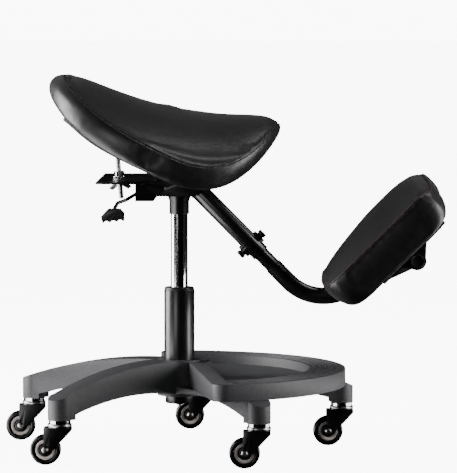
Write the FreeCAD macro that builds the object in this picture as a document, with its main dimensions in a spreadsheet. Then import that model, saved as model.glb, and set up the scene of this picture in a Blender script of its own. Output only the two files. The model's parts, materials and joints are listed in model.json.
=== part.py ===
import FreeCAD, Part
import Sketcher
import math
import os
import re

from FreeCAD import Placement, Rotation, Vector

# Kneeling chair with a saddle seat: five casters under a moulded base with a D-shaped foot tray, a lift,
# a tilt mechanism, and a telescopic arm that carries an arched knee pad. Millimetres, +Z up, +X from the seat
# to the knee pad, origin on the floor under the column.

SIZES = [
    # fits
    ("running_gap", 0.05), ("soft_gap", 0.3), ("seat_gap", 0.3),
    # casters
    ("caster_circle", 272.3), ("base_yaw", 11.7), ("caster_heading", 1.5), ("caster_trail", 22.5),
    ("wheel_radius", 24.8), ("tyre_width", 19.0), ("tyre_round", 5.0), ("rim_radius", 16.3),
    ("rim_width", 15.0),
    ("rim_dish", 2.5), ("rim_hub_radius", 10.9), ("axle_radius", 4.0), ("axle_nut_radius", 6.2),
    ("axle_nut_height", 4.5), ("fork_half_gap", 11.5), ("fork_sheet", 2.6), ("fork_eye_radius", 9.0),
    ("fork_back", 25.0), ("fork_crown_depth", 6.5), ("race_radius", 19.0), ("race_height", 6.0),
    ("stem_flange_radius", 17.6), ("stem_flange_height", 5.2), ("stem_neck_radius", 8.0),
    ("stem_rivet_radius", 10.5), ("stem_rivet_height", 3.5), ("stem_shank_radius", 5.5),
    ("stem_shank_length", 30.0),
    # moulded base
    ("socket_bottom", 72.0), ("socket_radius", 19.0), ("arm_top", 149.0), ("arm_top_bow", 700.0),
    ("arm_top_flat", 45.0), ("arm_under", 101.0), ("arm_under_bow", 504.0), ("arm_under_flat", 110.0),
    ("arm_under_end", 254.0), ("arm_root_width", 54.0), ("arm_tip_width", 35.0), ("base_wall", 4.0),
    ("hub_radius", 36.0), ("hub_bottom", 90.0), ("low_arm_top", 107.7), ("boss_slope", 8.0),
    ("rib_spacing", 42.0), ("rib_count", 4),
    # foot tray
    ("tray_radius", 273.0), ("tray_flat", 10.0), ("tray_bottom", 108.0), ("tray_top", 135.0),
    ("tray_rim_width", 59.0), ("tray_floor_top", 120.0), ("tray_wall", 4.0), ("tray_beam", 28.0),
    ("tray_corner", 22.0), ("tray_hub_radius", 52.0), ("tread_height", 1.2), ("tread_width", 2.2),
    ("tread_pitch", 9.5), ("tread_count", 5), ("tray_screw_radius", 2.5), ("tray_screw_circle", 232.0),
    ("tray_screw_head", 5.0), ("tray_screw_grip", 12.0),
    # column and gas lift
    ("column_radius", 25.0), ("column_wall", 2.0), ("column_top", 263.0), ("column_foot_radius", 23.0),
    ("column_foot", 77.0), ("guide_flange", 5.0), ("guide_bottom", 162.0), ("lift_radius", 14.0),
    ("lift_wall", 2.5), ("lift_bottom", 197.0), ("lift_floor", 6.0), ("lift_chamber_top", 392.0),
    ("piston_rod_radius", 5.0), ("piston_height", 12.0), ("piston_top", 271.0), ("piston_foot", 73.0),
    ("thrust_height", 5.0), ("bearing_play", 4.0), ("clip_radius", 9.0), ("clip_height", 2.0),
    # mechanism
    ("housing_rear", -71.0), ("housing_step", -41.0), ("housing_chamfer", 6.0), ("housing_deep", 410.0),
    ("housing_floor", 418.0), ("housing_front", 20.0), ("ear_front", 50.0), ("housing_half_width", 28.0),
    ("housing_sheet", 3.0), ("plate_level", 444.0), ("plate_sheet", 3.0), ("plate_rear", -129.5),
    ("plate_wide_half", 134.0), ("plate_wide_front", -56.0), ("plate_neck_half", 40.0),
    ("plate_front", 14.0),
    ("socket_tube_radius", 16.3), ("socket_tube_bottom", 388.0), ("socket_flare", 19.5),
    ("socket_flare_start", 409.0), ("pin_hole_radius", 9.0), ("hinge_x", 36.0), ("hinge_z", 455.0),
    ("hinge_pin_radius", 5.0), ("hinge_ear_radius", 11.0), ("hinge_pin_head", 8.0),
    ("release_pin_radius", 4.0), ("release_pin_top", 427.7), ("release_pin_length", 15.0),
    # lift lever
    ("lever_pivot_x", -22.0), ("lever_pivot_z", 431.0), ("lever_wire_radius", 3.0),
    ("lever_pin_radius", 2.5),
    ("lever_eye_radius", 6.0), ("lever_eye_half", 6.0), ("lever_nose", 3.0), ("paddle_length", 38.0),
    ("paddle_height", 23.0), ("paddle_thickness", 15.0), ("paddle_groove", 4.6), ("lever_slot_y", -19.0),
    ("lever_slot_half", 6.0), ("wire_out_y", -18.0), ("wire_bend_x", -86.0), ("wire_bend_y", -24.0),
    ("wire_bend_z", 412.0), ("wire_turn_x", -99.0), ("wire_turn_y", -37.0), ("wire_turn_z", 408.0),
    ("wire_round", 4.0), ("grip_x", -104.0), ("grip_y", -42.0), ("grip_z", 399.0),
    # seat
    ("seat_datum_x", 34.0), ("seat_datum_z", 437.0), ("seat_tilt", 13.0), ("seat_rear", -278.0),
    ("seat_front", 109.0), ("seat_half_width", 185.0), ("saddle_low_x", -75.0), ("saddle_low", 115.0),
    ("saddle_rear_rise", 18.0), ("saddle_front_rise", 22.0), ("saddle_rear_peak", 160.0),
    ("saddle_front_peak", 141.0), ("seat_band", 45.0), ("seat_centre_extra", 8.0), ("seat_band_bulge", 4.0),
    ("seat_band_draw", 6.0), ("shell_thickness", 7.0), ("shell_inset", 17.0), ("pan_level", 43.5),
    ("pan_sheet", 4.0), ("pan_rear", -172.0), ("pan_front", 28.0), ("pan_half_width", 38.0),
    ("pan_bolt_rear", -158.0), ("pan_bolt_front", 14.0), ("pan_bolt_half", 18.0), ("pan_boss_radius", 9.0),
    ("pan_bolt_radius", 3.0), ("pan_bolt_head", 6.0), ("pan_bolt_head_height", 4.0),
    # tilt adjuster
    ("adjuster_x", -102.3), ("adjuster_z", 497.0), ("adjuster_lean", 4.9), ("adjuster_radius", 4.0),
    ("adjuster_length", 84.0), ("adjuster_eye", 8.0), ("adjuster_eye_half", 5.0),
    ("adjuster_pin_radius", 3.0),
    ("adjuster_lug_sheet", 3.0), ("tilt_nut_radius", 8.5), ("tilt_nut_height", 8.0),
    ("tilt_washer_radius", 11.0),
    ("tilt_washer_height", 1.6), ("nut_lift", 1.45), ("plate_slot_length", 28.0), ("plate_slot_half", 5.2),
    ("wing_hub_radius", 7.0), ("wing_hub_height", 9.0), ("wing_reach", 19.0), ("wing_drop", 15.0),
    ("wing_sheet", 3.0),
    # knee arm
    ("knee_arm_x", 33.0), ("knee_arm_z", 425.1), ("knee_arm_slope", 45.3), ("outer_tube_radius", 15.0),
    ("outer_tube_length", 143.6), ("inner_tube_radius", 12.5), ("inner_tube_start", 30.0),
    ("inner_tube_wall", 2.0), ("bent_tube_start", 172.0), ("bent_tube_radius", 14.0),
    ("bent_tube_overlap", 24.0),
    ("bend_radius", 80.0), ("knee_tube_rise", 25.0), ("knee_tube_aim_x", 388.0), ("knee_tube_aim_z", 316.0),
    ("clamp_station", 121.5), ("clamp_boss_radius", 11.0), ("clamp_boss_height", 4.0),
    ("clamp_bolt_radius", 4.0),
    ("clamp_head_radius", 7.2), ("clamp_head_height", 5.5), ("clamp_head_lift", 2.5),
    # knee pad
    ("pivot_x", 389.0), ("pivot_z", 314.5), ("barrel_radius", 15.0), ("barrel_half", 38.0),
    ("pivot_bolt_radius", 5.0), ("knee_datum_x", 241.0), ("knee_datum_z", 276.0), ("knee_slope", 45.0),
    ("knee_low", -5.0), ("knee_high", 242.0), ("knee_half_width", 190.0), ("knee_crown", 35.0),
    ("knee_crown_at", 160.0), ("knee_crown_fall", 12.0), ("knee_edge", 2.0), ("knee_band", 58.0),
    ("knee_arch", 33.0), ("knee_relief", 12.0), ("knee_relief_reach", 45.0),
    ("knee_low_round", 16.0), ("knee_high_round", 58.0), ("knee_band_bulge", 4.0), ("knee_band_draw", 5.0),
    ("knee_board_thickness", 6.0), ("knee_shell_low", 74.0),
    ("knee_shell_high", 212.0), ("knee_shell_inset", 12.0), ("bracket_level", -43.0), ("bracket_sheet", 4.0),
    ("bracket_low", 92.0), ("bracket_high", 190.0), ("bracket_ear_radius", 15.4),
    ("knee_bolt_low", 106.0), ("knee_bolt_high", 178.0), ("knee_bolt_half", 26.0), ("knob_radius", 11.5),
    ("knob_height", 13.0),
]
NAMES = [name for name, value in SIZES]
# where each caster's arm points, in degrees round the column; the last three carry the tray
CASTERS = {"a": 144.0, "b": -144.0, "c": 72.0, "d": -72.0, "e": 0.0}
TRAY_ARMS = [CASTERS[letter] for letter in "dec"]
# how far each caster has swung from the common heading
CASTER_SWING = {"a": 1.0, "b": -2.0, "c": 3.0, "d": -1.0, "e": 2.0}

doc = FreeCAD.newDocument("kneeling_chair")
sheet = doc.addObject("Spreadsheet::Sheet", "sizes")
for row, (name, value) in enumerate(SIZES, 1):
    sheet.set(f"A{row}", name)
    sheet.set(f"B{row}", str(value))
    sheet.setAlias(f"B{row}", name)
doc.recompute()

X = Vector(1, 0, 0)
Y = Vector(0, 1, 0)
Z = Vector(0, 0, 1)
pieces = []


class Sizes:
    """The sheet's values, read by name."""

    def __getattr__(self, name):
        return float(sheet.get(name))


s = Sizes()


# Helpers: a formula is written with the sheet's own names.

def formula(text):
    return re.sub(r"[a-z][a-z_]*",
                  lambda word: "sizes." + word.group() if word.group() in NAMES else word.group(),
                  str(text))


def tie(thing, **formulas):
    for prop, text in formulas.items():
        thing.setExpression(prop, formula(text))
    return thing


def put(thing, at, turn=None):
    if turn:
        thing.Placement = Placement(Vector(), turn)
    for axis, text in zip("xyz", at):
        thing.setExpression("Placement.Base." + axis, formula(text))
    return thing


TURNS = {"z": None, "x": Rotation(Y, 90), "y": Rotation(X, -90)}


def cylinder(radius, height, at=(0, 0, 0), axis="z"):
    return put(tie(doc.addObject("Part::Cylinder", "rod"), Radius=radius, Height=height), at, TURNS[axis])


def cone(radius_low, radius_high, height, at=(0, 0, 0), axis="z"):
    made = tie(doc.addObject("Part::Cone", "taper"), Radius1=radius_low, Radius2=radius_high, Height=height)
    return put(made, at, TURNS[axis])


def box(length, width, height, at=(0, 0, 0)):
    return put(tie(doc.addObject("Part::Box", "block"), Length=length, Width=width, Height=height), at)


def fuse(*parts):
    made = doc.addObject("Part::MultiFuse", "joined")
    made.Shapes = list(parts)
    made.Refine = True
    return made


def cut(base, *tools):
    for tool in tools:
        made = doc.addObject("Part::Cut", "cut")
        made.Base = base
        made.Tool = tool
        made.Refine = True
        base = made
    return base


def common(first, second):
    made = doc.addObject("Part::Common", "shared")
    made.Base = first
    made.Tool = second
    return made


def spun(base, angle):
    """A copy of base, turned about the column's axis."""
    made = doc.addObject("Part::Feature", "copy")
    doc.recompute()
    made.Shape = base.Shape.copy()
    made.Placement = Placement(Vector(), Rotation(Z, angle)) * made.Placement
    return made


def outline(body, plane, points):
    """A sketch of straight sides through the points, each coordinate tied to the sheet."""
    sketch = body.newObject("Sketcher::SketchObject", "outline")
    sketch.AttachmentSupport = [(next(f for f in body.Origin.OriginFeatures if f.Role == plane), "")]
    sketch.MapMode = "FlatFace"
    places = [(evaluate(a), evaluate(b)) for a, b in points]
    for i, (a, b) in enumerate(places):
        c, d = places[(i + 1) % len(places)]
        sketch.addGeometry(Part.LineSegment(Vector(a, b, 0), Vector(c, d, 0)), False)
    count = len(points)
    for i in range(count):
        sketch.addConstraint(Sketcher.Constraint("Coincident", i, 2, (i + 1) % count, 1))
    for i, (texts, values) in enumerate(zip(points, places)):
        for kind, axis, text, value in zip(("DistanceX", "DistanceY"), (-2, -1), texts, values):
            if abs(value) < 1e-9:
                sketch.addConstraint(Sketcher.Constraint("PointOnObject", i, 1, axis))
            else:
                index = sketch.addConstraint(Sketcher.Constraint(kind, -1, 1, i, 1, value))
                sketch.setExpression(f"Constraints[{index}]", formula(text))
    return sketch


def evaluate(text):
    return float(sheet.evalExpression(re.sub(r"sizes\.", "", formula(text))))


def turned(points):
    """A body revolved about Z from an outline in the XZ plane."""
    body = doc.addObject("PartDesign::Body", "turned")
    sketch = outline(body, "XZ_Plane", points)
    spin = body.newObject("PartDesign::Revolution", "spin")
    spin.Profile = sketch
    spin.ReferenceAxis = (sketch, ["V_Axis"])
    spin.Angle = 360
    sketch.Visibility = False
    return body


def plate(plane, points, thickness, midplane=True):
    """A body of one thickness from an outline in an origin plane."""
    body = doc.addObject("PartDesign::Body", "plate")
    sketch = outline(body, plane, points)
    pad = body.newObject("PartDesign::Pad", "thickness")
    pad.Profile = sketch
    pad.SideType = "Symmetric" if midplane else "One side"
    tie(pad, Length=thickness)
    sketch.Visibility = False
    return body


def soften(body, radius, wanted):
    """Rounds the edges of the body's tip that the test picks."""
    doc.recompute()
    tip = body.Tip
    names = [f"Edge{i}" for i, edge in enumerate(tip.Shape.Edges, 1) if wanted(edge)]
    fillet = body.newObject("PartDesign::Fillet", "rounding")
    fillet.Base = (tip, names)
    tie(fillet, Radius=radius)
    return body


def sculpted(shape):
    made = doc.addObject("Part::Feature", "form")
    made.Shape = shape
    return made


def piece(label, thing, place=None):
    """Names a finished sub-part and puts it in its frame."""
    doc.recompute()
    thing.Label = label
    if place is not None:
        thing.Placement = place * thing.Placement
    pieces.append(thing)
    return thing


def circle_edge(radius, tolerance=0.01):
    return lambda edge: hasattr(edge.Curve, "Radius") and abs(edge.Curve.Radius - radius) < tolerance


def routed(points, bend):
    """A wire of straight runs through the points, joined by tangent arcs."""
    corners = [Vector(*p) for p in points]
    edges = []
    last = corners[0]
    for before, corner, after in zip(corners, corners[1:], corners[2:]):
        inward = (before - corner).normalize()
        onward = (after - corner).normalize()
        half = inward.getAngle(onward) / 2
        reach = bend / math.tan(half)
        middle = corner + (inward + onward).normalize() * (bend / math.sin(half) - bend)
        start = corner + inward * reach
        end = corner + onward * reach
        edges += [Part.LineSegment(last, start).toShape(), Part.Arc(start, middle, end).toShape()]
        last = end
    edges.append(Part.LineSegment(last, corners[-1]).toShape())
    return Part.Wire(edges)


def swept(wire, radius):
    """A round bar along a routed wire."""
    first = wire.Edges[0]
    start = first.valueAt(first.FirstParameter)
    disc = Part.Wire(Part.Circle(start, first.tangentAt(first.FirstParameter), radius).toShape())
    return wire.makePipeShell([disc], True, False)


def tilted(x, z, angle):
    """A frame in the XZ plane, nose down by the angle."""
    return Placement(Vector(x, 0, z), Rotation(Y, angle))


base_frame = Placement(Vector(), Rotation(Z, s.base_yaw))
seat_frame = tilted(s.seat_datum_x, s.seat_datum_z, s.seat_tilt)
arm_frame = tilted(s.knee_arm_x, s.knee_arm_z, s.knee_arm_slope)
knee_frame = tilted(s.knee_datum_x, s.knee_datum_z, -s.knee_slope)
adjuster_frame = tilted(s.adjuster_x, s.adjuster_z, -s.adjuster_lean)


# Casters: origin of each on the floor under its stem, trailing towards -X.

def caster_frame(letter):
    angle = CASTERS[letter]
    foot = base_frame.multVec(Rotation(Z, angle).multVec(Vector(s.caster_circle, 0, 0)))
    return Placement(foot, Rotation(Z, s.caster_heading + CASTER_SWING[letter]))


def caster_tyre():
    half = "tyre_width / 2"
    body = turned([("rim_radius", f"-({half})"), ("wheel_radius", f"-({half})"), ("wheel_radius", half),
                   ("rim_radius", half)])
    return soften(body, "tyre_round", circle_edge(s.wheel_radius))


def caster_rim():
    half = "rim_width / 2"
    bore = "axle_radius + running_gap"
    dish = "rim_width / 2 - rim_dish"
    return turned([(bore, f"-({half})"), ("rim_hub_radius - rim_dish", f"-({half})"),
                   ("rim_hub_radius", f"-({dish})"), ("rim_radius", f"-({half})"), ("rim_radius", half),
                   ("rim_hub_radius", dish), ("rim_hub_radius - rim_dish", half), (bore, half)])


def caster_fork():
    """Pressed steel fork with its race ring, both legs cut from one side profile."""
    crown = "(socket_bottom - stem_flange_height - seat_gap)"
    deck = f"({crown} - race_height)"
    under = f"({deck} - fork_crown_depth)"
    width = "(fork_half_gap + fork_sheet)"
    side = plate("XZ_Plane", [("-fork_back", deck), ("race_radius", deck), ("race_radius", f"{deck} - 5"),
                              ("-caster_trail + fork_eye_radius * 0.76",
                               "wheel_radius - fork_eye_radius * 0.65"),
                              ("-caster_trail", "wheel_radius"), ("-fork_back", "wheel_radius")],
                 f"2 * {width}")
    eye = cylinder("fork_eye_radius", f"2 * {width}", ("-caster_trail", f"-{width}", "wheel_radius"), "y")
    ring = cylinder("race_radius", "race_height", (0, 0, deck))
    gap = box("4 * race_radius", "2 * fork_half_gap", under,
              ("-2 * race_radius - fork_back", "-fork_half_gap", 0))
    neck = cylinder("stem_neck_radius + running_gap", crown)
    axle = cylinder("axle_radius", f"2 * {width}", ("-caster_trail", f"-{width}", "wheel_radius"), "y")
    return cut(fuse(side, eye, ring), gap, neck, axle)


def caster_axle():
    """Bolt through the fork with a domed nut at each end."""
    width = "(fork_half_gap + fork_sheet)"
    shank = cylinder("axle_radius", f"2 * {width}", (0, 0, f"-{width}"))
    near = cone("axle_nut_radius", "axle_nut_radius * 0.62", "axle_nut_height", (0, 0, width))
    far = cone("axle_nut_radius * 0.62", "axle_nut_radius", "axle_nut_height",
               (0, 0, f"-{width} - axle_nut_height"))
    return fuse(shank, near, far)


def caster_stem():
    """Stem pressed into the base: shank, upper race flange, neck and riveted foot."""
    flange = "(socket_bottom - stem_flange_height)"
    foot = "(socket_bottom - stem_flange_height - seat_gap - race_height - fork_crown_depth - seat_gap)"
    return turned([("0", f"{foot} - stem_rivet_height"),
                   ("stem_rivet_radius", f"{foot} - stem_rivet_height"),
                   ("stem_rivet_radius", foot), ("stem_neck_radius", foot), ("stem_neck_radius", flange),
                   ("stem_flange_radius", flange), ("stem_flange_radius", "socket_bottom"),
                   ("stem_shank_radius", "socket_bottom"),
                   ("stem_shank_radius", "socket_bottom + stem_shank_length"),
                   ("0", "socket_bottom + stem_shank_length")])


stems = []
for letter in CASTERS:
    frame = caster_frame(letter)
    wheel_frame = frame * Placement(Vector(-s.caster_trail, 0, s.wheel_radius), Rotation(X, 90))
    piece("caster_fork_" + letter, caster_fork(), frame)
    piece("caster_axle_" + letter, caster_axle(), wheel_frame)
    piece("caster_rim_" + letter, caster_rim(), wheel_frame)
    piece("caster_tyre_" + letter, caster_tyre(), wheel_frame)
    stem = caster_stem()
    stem.Placement = frame * stem.Placement
    stems.append(stem)
all_stems = doc.addObject("Part::Compound", "stems")
all_stems.Links = stems
piece("caster_stems", all_stems)


# Moulded base: two open arms at the left and three lower arms that carry the tray.

def base_arm(top, hollow):
    """One arm along +X, arched above and below. The hollow one is the core that the mould leaves out."""
    wall = "base_wall" if hollow else "0"
    drop = f"({top} - {wall})"
    reach = f"(caster_circle - ({wall}) * {5 if hollow else 0})"
    plan = plate("XY_Plane", [("0", f"arm_root_width / 2 - {wall}"), (reach, f"arm_tip_width / 2 - {wall}"),
                              (reach, f"-(arm_tip_width / 2 - {wall})"),
                              ("0", f"-(arm_root_width / 2 - {wall})")],
                 "arm_top", midplane=False)
    if hollow:
        solid = plan
    else:
        solid = fuse(plan, cylinder("socket_radius", "arm_top", ("caster_circle", 0, 0)))
    if top == "arm_top":
        crown = cylinder("arm_top_bow", "2 * arm_root_width", ("arm_top_flat", "-arm_root_width",
                                                               f"{drop} - arm_top_bow"), "y")
    else:
        crown = turned([("0", "0"), ("2 * tray_radius", "0"),
                        ("2 * tray_radius", f"{drop} - boss_slope * 2"),
                        ("caster_circle + socket_radius", f"{drop} - boss_slope"), ("tray_radius", drop),
                        ("0", drop)])
    arm = common(solid, crown)
    if hollow:
        return arm
    belly = common(cylinder("arm_under_bow", "2 * arm_root_width", ("arm_under_flat", "-arm_root_width",
                                                                   "arm_under - arm_under_bow"), "y"),
                   box("arm_under_end + arm_root_width", "2 * arm_root_width", "arm_under",
                       ("-arm_root_width", "-arm_root_width", 0)))
    return cut(arm, belly, cylinder("2 * socket_radius", "socket_bottom", ("caster_circle", 0, 0)))


def arm_ribs():
    """Cross ribs inside one arm, left standing in its hollow."""
    rib = tie(doc.addObject("Part::Box", "rib"), Length="base_wall", Width="arm_root_width",
              Height="arm_top")
    put(rib, ("hub_radius + rib_spacing", "-arm_root_width / 2", "0"))
    row = [rib]
    for number in range(1, int(s.rib_count)):
        row.append(box("base_wall", "arm_root_width", "arm_top",
                       (f"hub_radius + rib_spacing * {number + 1}", "-arm_root_width / 2", "0")))
    return fuse(*row) if len(row) > 1 else rib


high_arm = base_arm("arm_top", False)
high_core = cut(base_arm("arm_top", True), arm_ribs())
low_arm = base_arm("low_arm_top", False)
low_core = cut(base_arm("low_arm_top", True), arm_ribs())
hub = cylinder("hub_radius", "arm_top - hub_bottom", (0, 0, "hub_bottom"))
arms = [spun(high_arm, CASTERS["a"]), spun(high_arm, CASTERS["b"])]
arms += [spun(low_arm, CASTERS[letter]) for letter in "cde"]
cores = [spun(high_core, CASTERS["a"]), spun(high_core, CASTERS["b"])]
cores += [spun(low_core, CASTERS[letter]) for letter in "cde"]
hub_keep = cylinder("hub_radius", "2 * arm_top")
floor_cut = box("4 * tray_radius", "4 * tray_radius", "socket_bottom",
                ("-2 * tray_radius", "-2 * tray_radius", 0))
star = fuse(hub, *arms)
star = cut(star, *[cut(core, hub_keep) for core in cores])
bores = [spun(cylinder("stem_shank_radius", "stem_shank_length", ("caster_circle", 0, "socket_bottom")),
              CASTERS[letter]) for letter in CASTERS]
taper = cone("column_foot_radius", "column_radius", "arm_top - hub_bottom", (0, 0, "hub_bottom"))
foot_bore = cylinder("column_foot_radius", "hub_bottom")
screw_bores = [spun(cylinder("tray_screw_radius + soft_gap", "arm_top", ("tray_screw_circle", 0, 0)), angle)
               for angle in TRAY_ARMS]
star = cut(star, floor_cut, taper, foot_bore, *bores, *screw_bores)
piece("base_star", star, base_frame)


# Foot tray: a D-shaped moulding that stands on the three low arms, with a recessed pan and a ribbed rim.

def tray_plan(radius, flat, height, low):
    """The D outline: a disc cut by the straight side."""
    disc = cylinder(radius, height, (0, 0, low))
    side = box(f"{radius} - ({flat})", f"2 * ({radius})", height, (flat, f"-({radius})", low))
    return common(disc, side)


inner_radius = "(tray_radius - tray_rim_width)"
tray = tray_plan("tray_radius", "tray_flat", "tray_top - tray_bottom", "tray_bottom")
# the beam along the straight side climbs to the hub
beam_side = plate("YZ_Plane", [("-tray_radius * 0.9", "tray_top - base_wall"),
                               ("-tray_radius * 0.9", "tray_top"),
                               ("-tray_hub_radius", "arm_top - 3"), ("tray_hub_radius", "arm_top - 3"),
                               ("tray_radius * 0.9", "tray_top"),
                               ("tray_radius * 0.9", "tray_top - base_wall")],
                  "2 * (tray_flat + tray_beam)")
beam = common(beam_side, box("tray_beam", "2 * tray_radius", "2 * arm_top",
                             ("tray_flat", "-tray_radius", 0)))
collar = cut(cylinder("tray_hub_radius", "arm_top - 3 - tray_bottom", (0, 0, "tray_bottom")),
             box("2 * tray_hub_radius", "4 * tray_hub_radius", "2 * arm_top",
                 ("tray_flat - 2 * tray_hub_radius", "-2 * tray_hub_radius", 0)))
pan = cut(tray_plan(inner_radius, "tray_flat + tray_beam", "tray_top", "tray_floor_top"),
          cylinder("tray_hub_radius", "2 * arm_top"))
under = cut(tray_plan("tray_radius - tray_wall", "tray_flat + tray_wall",
                      "tray_floor_top - tray_wall - tray_bottom",
                      "tray_bottom"), cylinder("tray_hub_radius", "2 * arm_top"))
rim_hollow = cut(tray_plan("tray_radius - tray_wall", "tray_flat + tray_wall",
                           "tray_top - tray_wall - tray_bottom",
                           "tray_bottom"),
                 cylinder(f"{inner_radius} + tray_wall", "2 * arm_top"))
web = [box("tray_radius - tray_hub_radius - 2 * tray_wall", "tray_wall",
           "tray_top - tray_wall - tray_bottom",
           ("tray_hub_radius", "-tray_wall / 2 + " + side, "tray_bottom"))
       for side in ("arm_tip_width / 2", "-arm_tip_width / 2")]
webs = [spun(w, angle) for w in web for angle in TRAY_ARMS]
shell = cut(fuse(tray, beam, collar), pan)
hollow = fuse(under, rim_hollow)
for one in webs:
    hollow = cut(hollow, one)
screw_posts = [spun(cylinder("tray_screw_radius + tray_wall", "tray_top - tray_wall / 2 - tray_bottom",
                             ("tray_screw_circle", 0, "tray_bottom")), angle) for angle in TRAY_ARMS]
for one in screw_posts:
    hollow = cut(hollow, one)
treads = []
for number in range(int(s.tread_count)):
    outer = f"({inner_radius} + tray_wall * 2 + tread_pitch * {number})"
    ring = cut(tray_plan(f"{outer} + tread_width", "tray_flat + tray_beam + tray_wall", "tread_height + 1",
                         "tray_top - 1"), cylinder(outer, "2 * arm_top"))
    treads.append(ring)
tray_body = cut(shell, hollow, cylinder("hub_radius + seat_gap", "2 * arm_top"))
tray_body = cut(fuse(tray_body, *treads),
                *[spun(cylinder("tray_screw_radius", "tray_screw_grip",
                                ("tray_screw_circle", 0, "tray_bottom")), angle)
                  for angle in TRAY_ARMS])
prism = tray_plan("tray_radius", "tray_flat", "2 * arm_top", "0")
doc.recompute()
rounded = doc.addObject("Part::Fillet", "tray_corners")
rounded.Base = prism
rounded.Edges = [(i, s.tray_corner, s.tray_corner) for i, edge in enumerate(prism.Shape.Edges, 1)
                 if edge.BoundBox.XLength < 0.01 and edge.BoundBox.YLength < 0.01]
tray_body = common(tray_body, rounded)
piece("foot_tray", tray_body, base_frame)

screws = []
for angle in TRAY_ARMS:
    screw = fuse(cylinder("tray_screw_radius", "tray_screw_grip + base_wall",
                          ("tray_screw_circle", 0, "low_arm_top - base_wall")),
                 cylinder("tray_screw_head", "base_wall / 1.3",
                          ("tray_screw_circle", 0, "low_arm_top - base_wall - base_wall / 1.3")))
    screws.append(spun(screw, angle))
tray_screws = doc.addObject("Part::Compound", "screws")
tray_screws.Links = screws
piece("tray_screws", tray_screws, base_frame)


# Column and gas lift, turned about Z.

inside = "(column_radius - column_wall)"
foot_inside = "(column_foot_radius - column_wall)"
piece("column_tube", turned([
    ("piston_rod_radius + running_gap", "column_foot"), ("column_foot_radius", "column_foot"),
    ("column_foot_radius", "hub_bottom"), ("column_radius", "arm_top"), ("column_radius", "column_top"),
    (inside, "column_top"), (inside, "arm_top"), (foot_inside, "hub_bottom"),
    (foot_inside, "column_foot + base_wall"),
    ("piston_rod_radius + running_gap", "column_foot + base_wall")]))
piece("column_guide", turned([
    ("lift_radius + running_gap", "guide_bottom"), (inside, "guide_bottom"), (inside, "column_top"),
    ("column_radius", "column_top"), ("column_radius - 1.5", "column_top + guide_flange"),
    ("lift_radius + running_gap", "column_top + guide_flange")]))
bearing_edge = f"{foot_inside} - bearing_play"
bearing_top = "column_foot + base_wall + thrust_height"
piece("thrust_bearing", turned([
    ("piston_rod_radius + running_gap", "column_foot + base_wall"),
    (bearing_edge, "column_foot + base_wall"),
    (bearing_edge, bearing_top), ("piston_rod_radius + running_gap", bearing_top)]))
piece("piston_rod", turned([
    ("0", "piston_foot"), ("piston_rod_radius", "piston_foot"),
    ("piston_rod_radius", "piston_top - piston_height"),
    ("lift_radius - lift_wall - running_gap", "piston_top - piston_height"),
    ("lift_radius - lift_wall - running_gap", "piston_top"), ("0", "piston_top")]))
piece("rod_clip", turned([
    ("piston_rod_radius", "column_foot - seat_gap - clip_height"),
    ("clip_radius", "column_foot - seat_gap - clip_height"),
    ("clip_radius", "column_foot - seat_gap"), ("piston_rod_radius", "column_foot - seat_gap")]))
chamber = "(lift_radius - lift_wall)"
piece("gas_cylinder", turned([
    ("piston_rod_radius + running_gap", "lift_bottom"), ("lift_radius", "lift_bottom"),
    ("lift_radius", "housing_floor + housing_sheet"),
    ("release_pin_radius + running_gap", "housing_floor + housing_sheet"),
    ("release_pin_radius + running_gap", "lift_chamber_top + 8"), ("0", "lift_chamber_top + 8"),
    ("0", "lift_chamber_top"), (chamber, "lift_chamber_top"), (chamber, "lift_bottom + lift_floor"),
    ("piston_rod_radius + running_gap", "lift_bottom + lift_floor")]))
piece("release_pin", turned([
    ("0", "release_pin_top - release_pin_length"),
    ("release_pin_radius", "release_pin_top - release_pin_length"),
    ("release_pin_radius", "release_pin_top"), ("0", "release_pin_top")]))
piece("socket_tube", turned([
    ("lift_radius", "socket_tube_bottom"), ("socket_tube_radius", "socket_tube_bottom"),
    ("socket_tube_radius", "socket_flare_start"), ("socket_flare", "housing_floor"),
    ("lift_radius", "housing_floor")]))


# Mechanism housing: a pressed channel, open above, with hinge ears and the arm's weld plate in front.

wide = "2 * housing_half_width"
ear_low = "housing_floor + 6"
outer = plate("XZ_Plane", [
    ("housing_rear", "housing_deep"), ("housing_step", "housing_deep"),
    ("housing_step + housing_chamfer", "housing_floor"), ("housing_front", "housing_floor"),
    ("ear_front", "hinge_z - hinge_ear_radius * 1.9"), ("ear_front", "plate_level"),
    ("hinge_x + hinge_ear_radius", "hinge_z"), ("hinge_x - hinge_ear_radius", "hinge_z"),
    ("hinge_x - 2 * hinge_ear_radius", "plate_level"), ("housing_rear", "plate_level")], wide)
ear = cylinder("hinge_ear_radius", wide, ("hinge_x", "-housing_half_width", "hinge_z"), "y")
trough = plate("XZ_Plane", [
    ("housing_rear + housing_sheet", "housing_deep + housing_sheet"),
    ("housing_step", "housing_deep + housing_sheet"),
    ("housing_step + housing_chamfer", "housing_floor + housing_sheet"),
    ("housing_front", "housing_floor + housing_sheet"), ("housing_front", "housing_deep"),
    ("2 * ear_front", "housing_deep"), ("2 * ear_front", "2 * hinge_z - plate_level + hinge_ear_radius"),
    ("housing_rear + housing_sheet", "2 * hinge_z - plate_level + hinge_ear_radius")],
    "2 * (housing_half_width - housing_sheet)")
pin_bore = cylinder("hinge_pin_radius", wide, ("hinge_x", "-housing_half_width", "hinge_z"), "y")
lift_bore = cylinder("lift_radius", "2 * housing_sheet", (0, 0, "housing_floor - housing_sheet / 2"))
lever_slot = box("3 * housing_sheet", "2 * lever_slot_half", "plate_level - housing_floor",
                 ("housing_rear - housing_sheet", "lever_slot_y - lever_slot_half", "housing_floor - 2"))
lever_bore = cylinder("lever_pin_radius", wide, ("lever_pivot_x", "-housing_half_width", "lever_pivot_z"),
                      "y")
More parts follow.
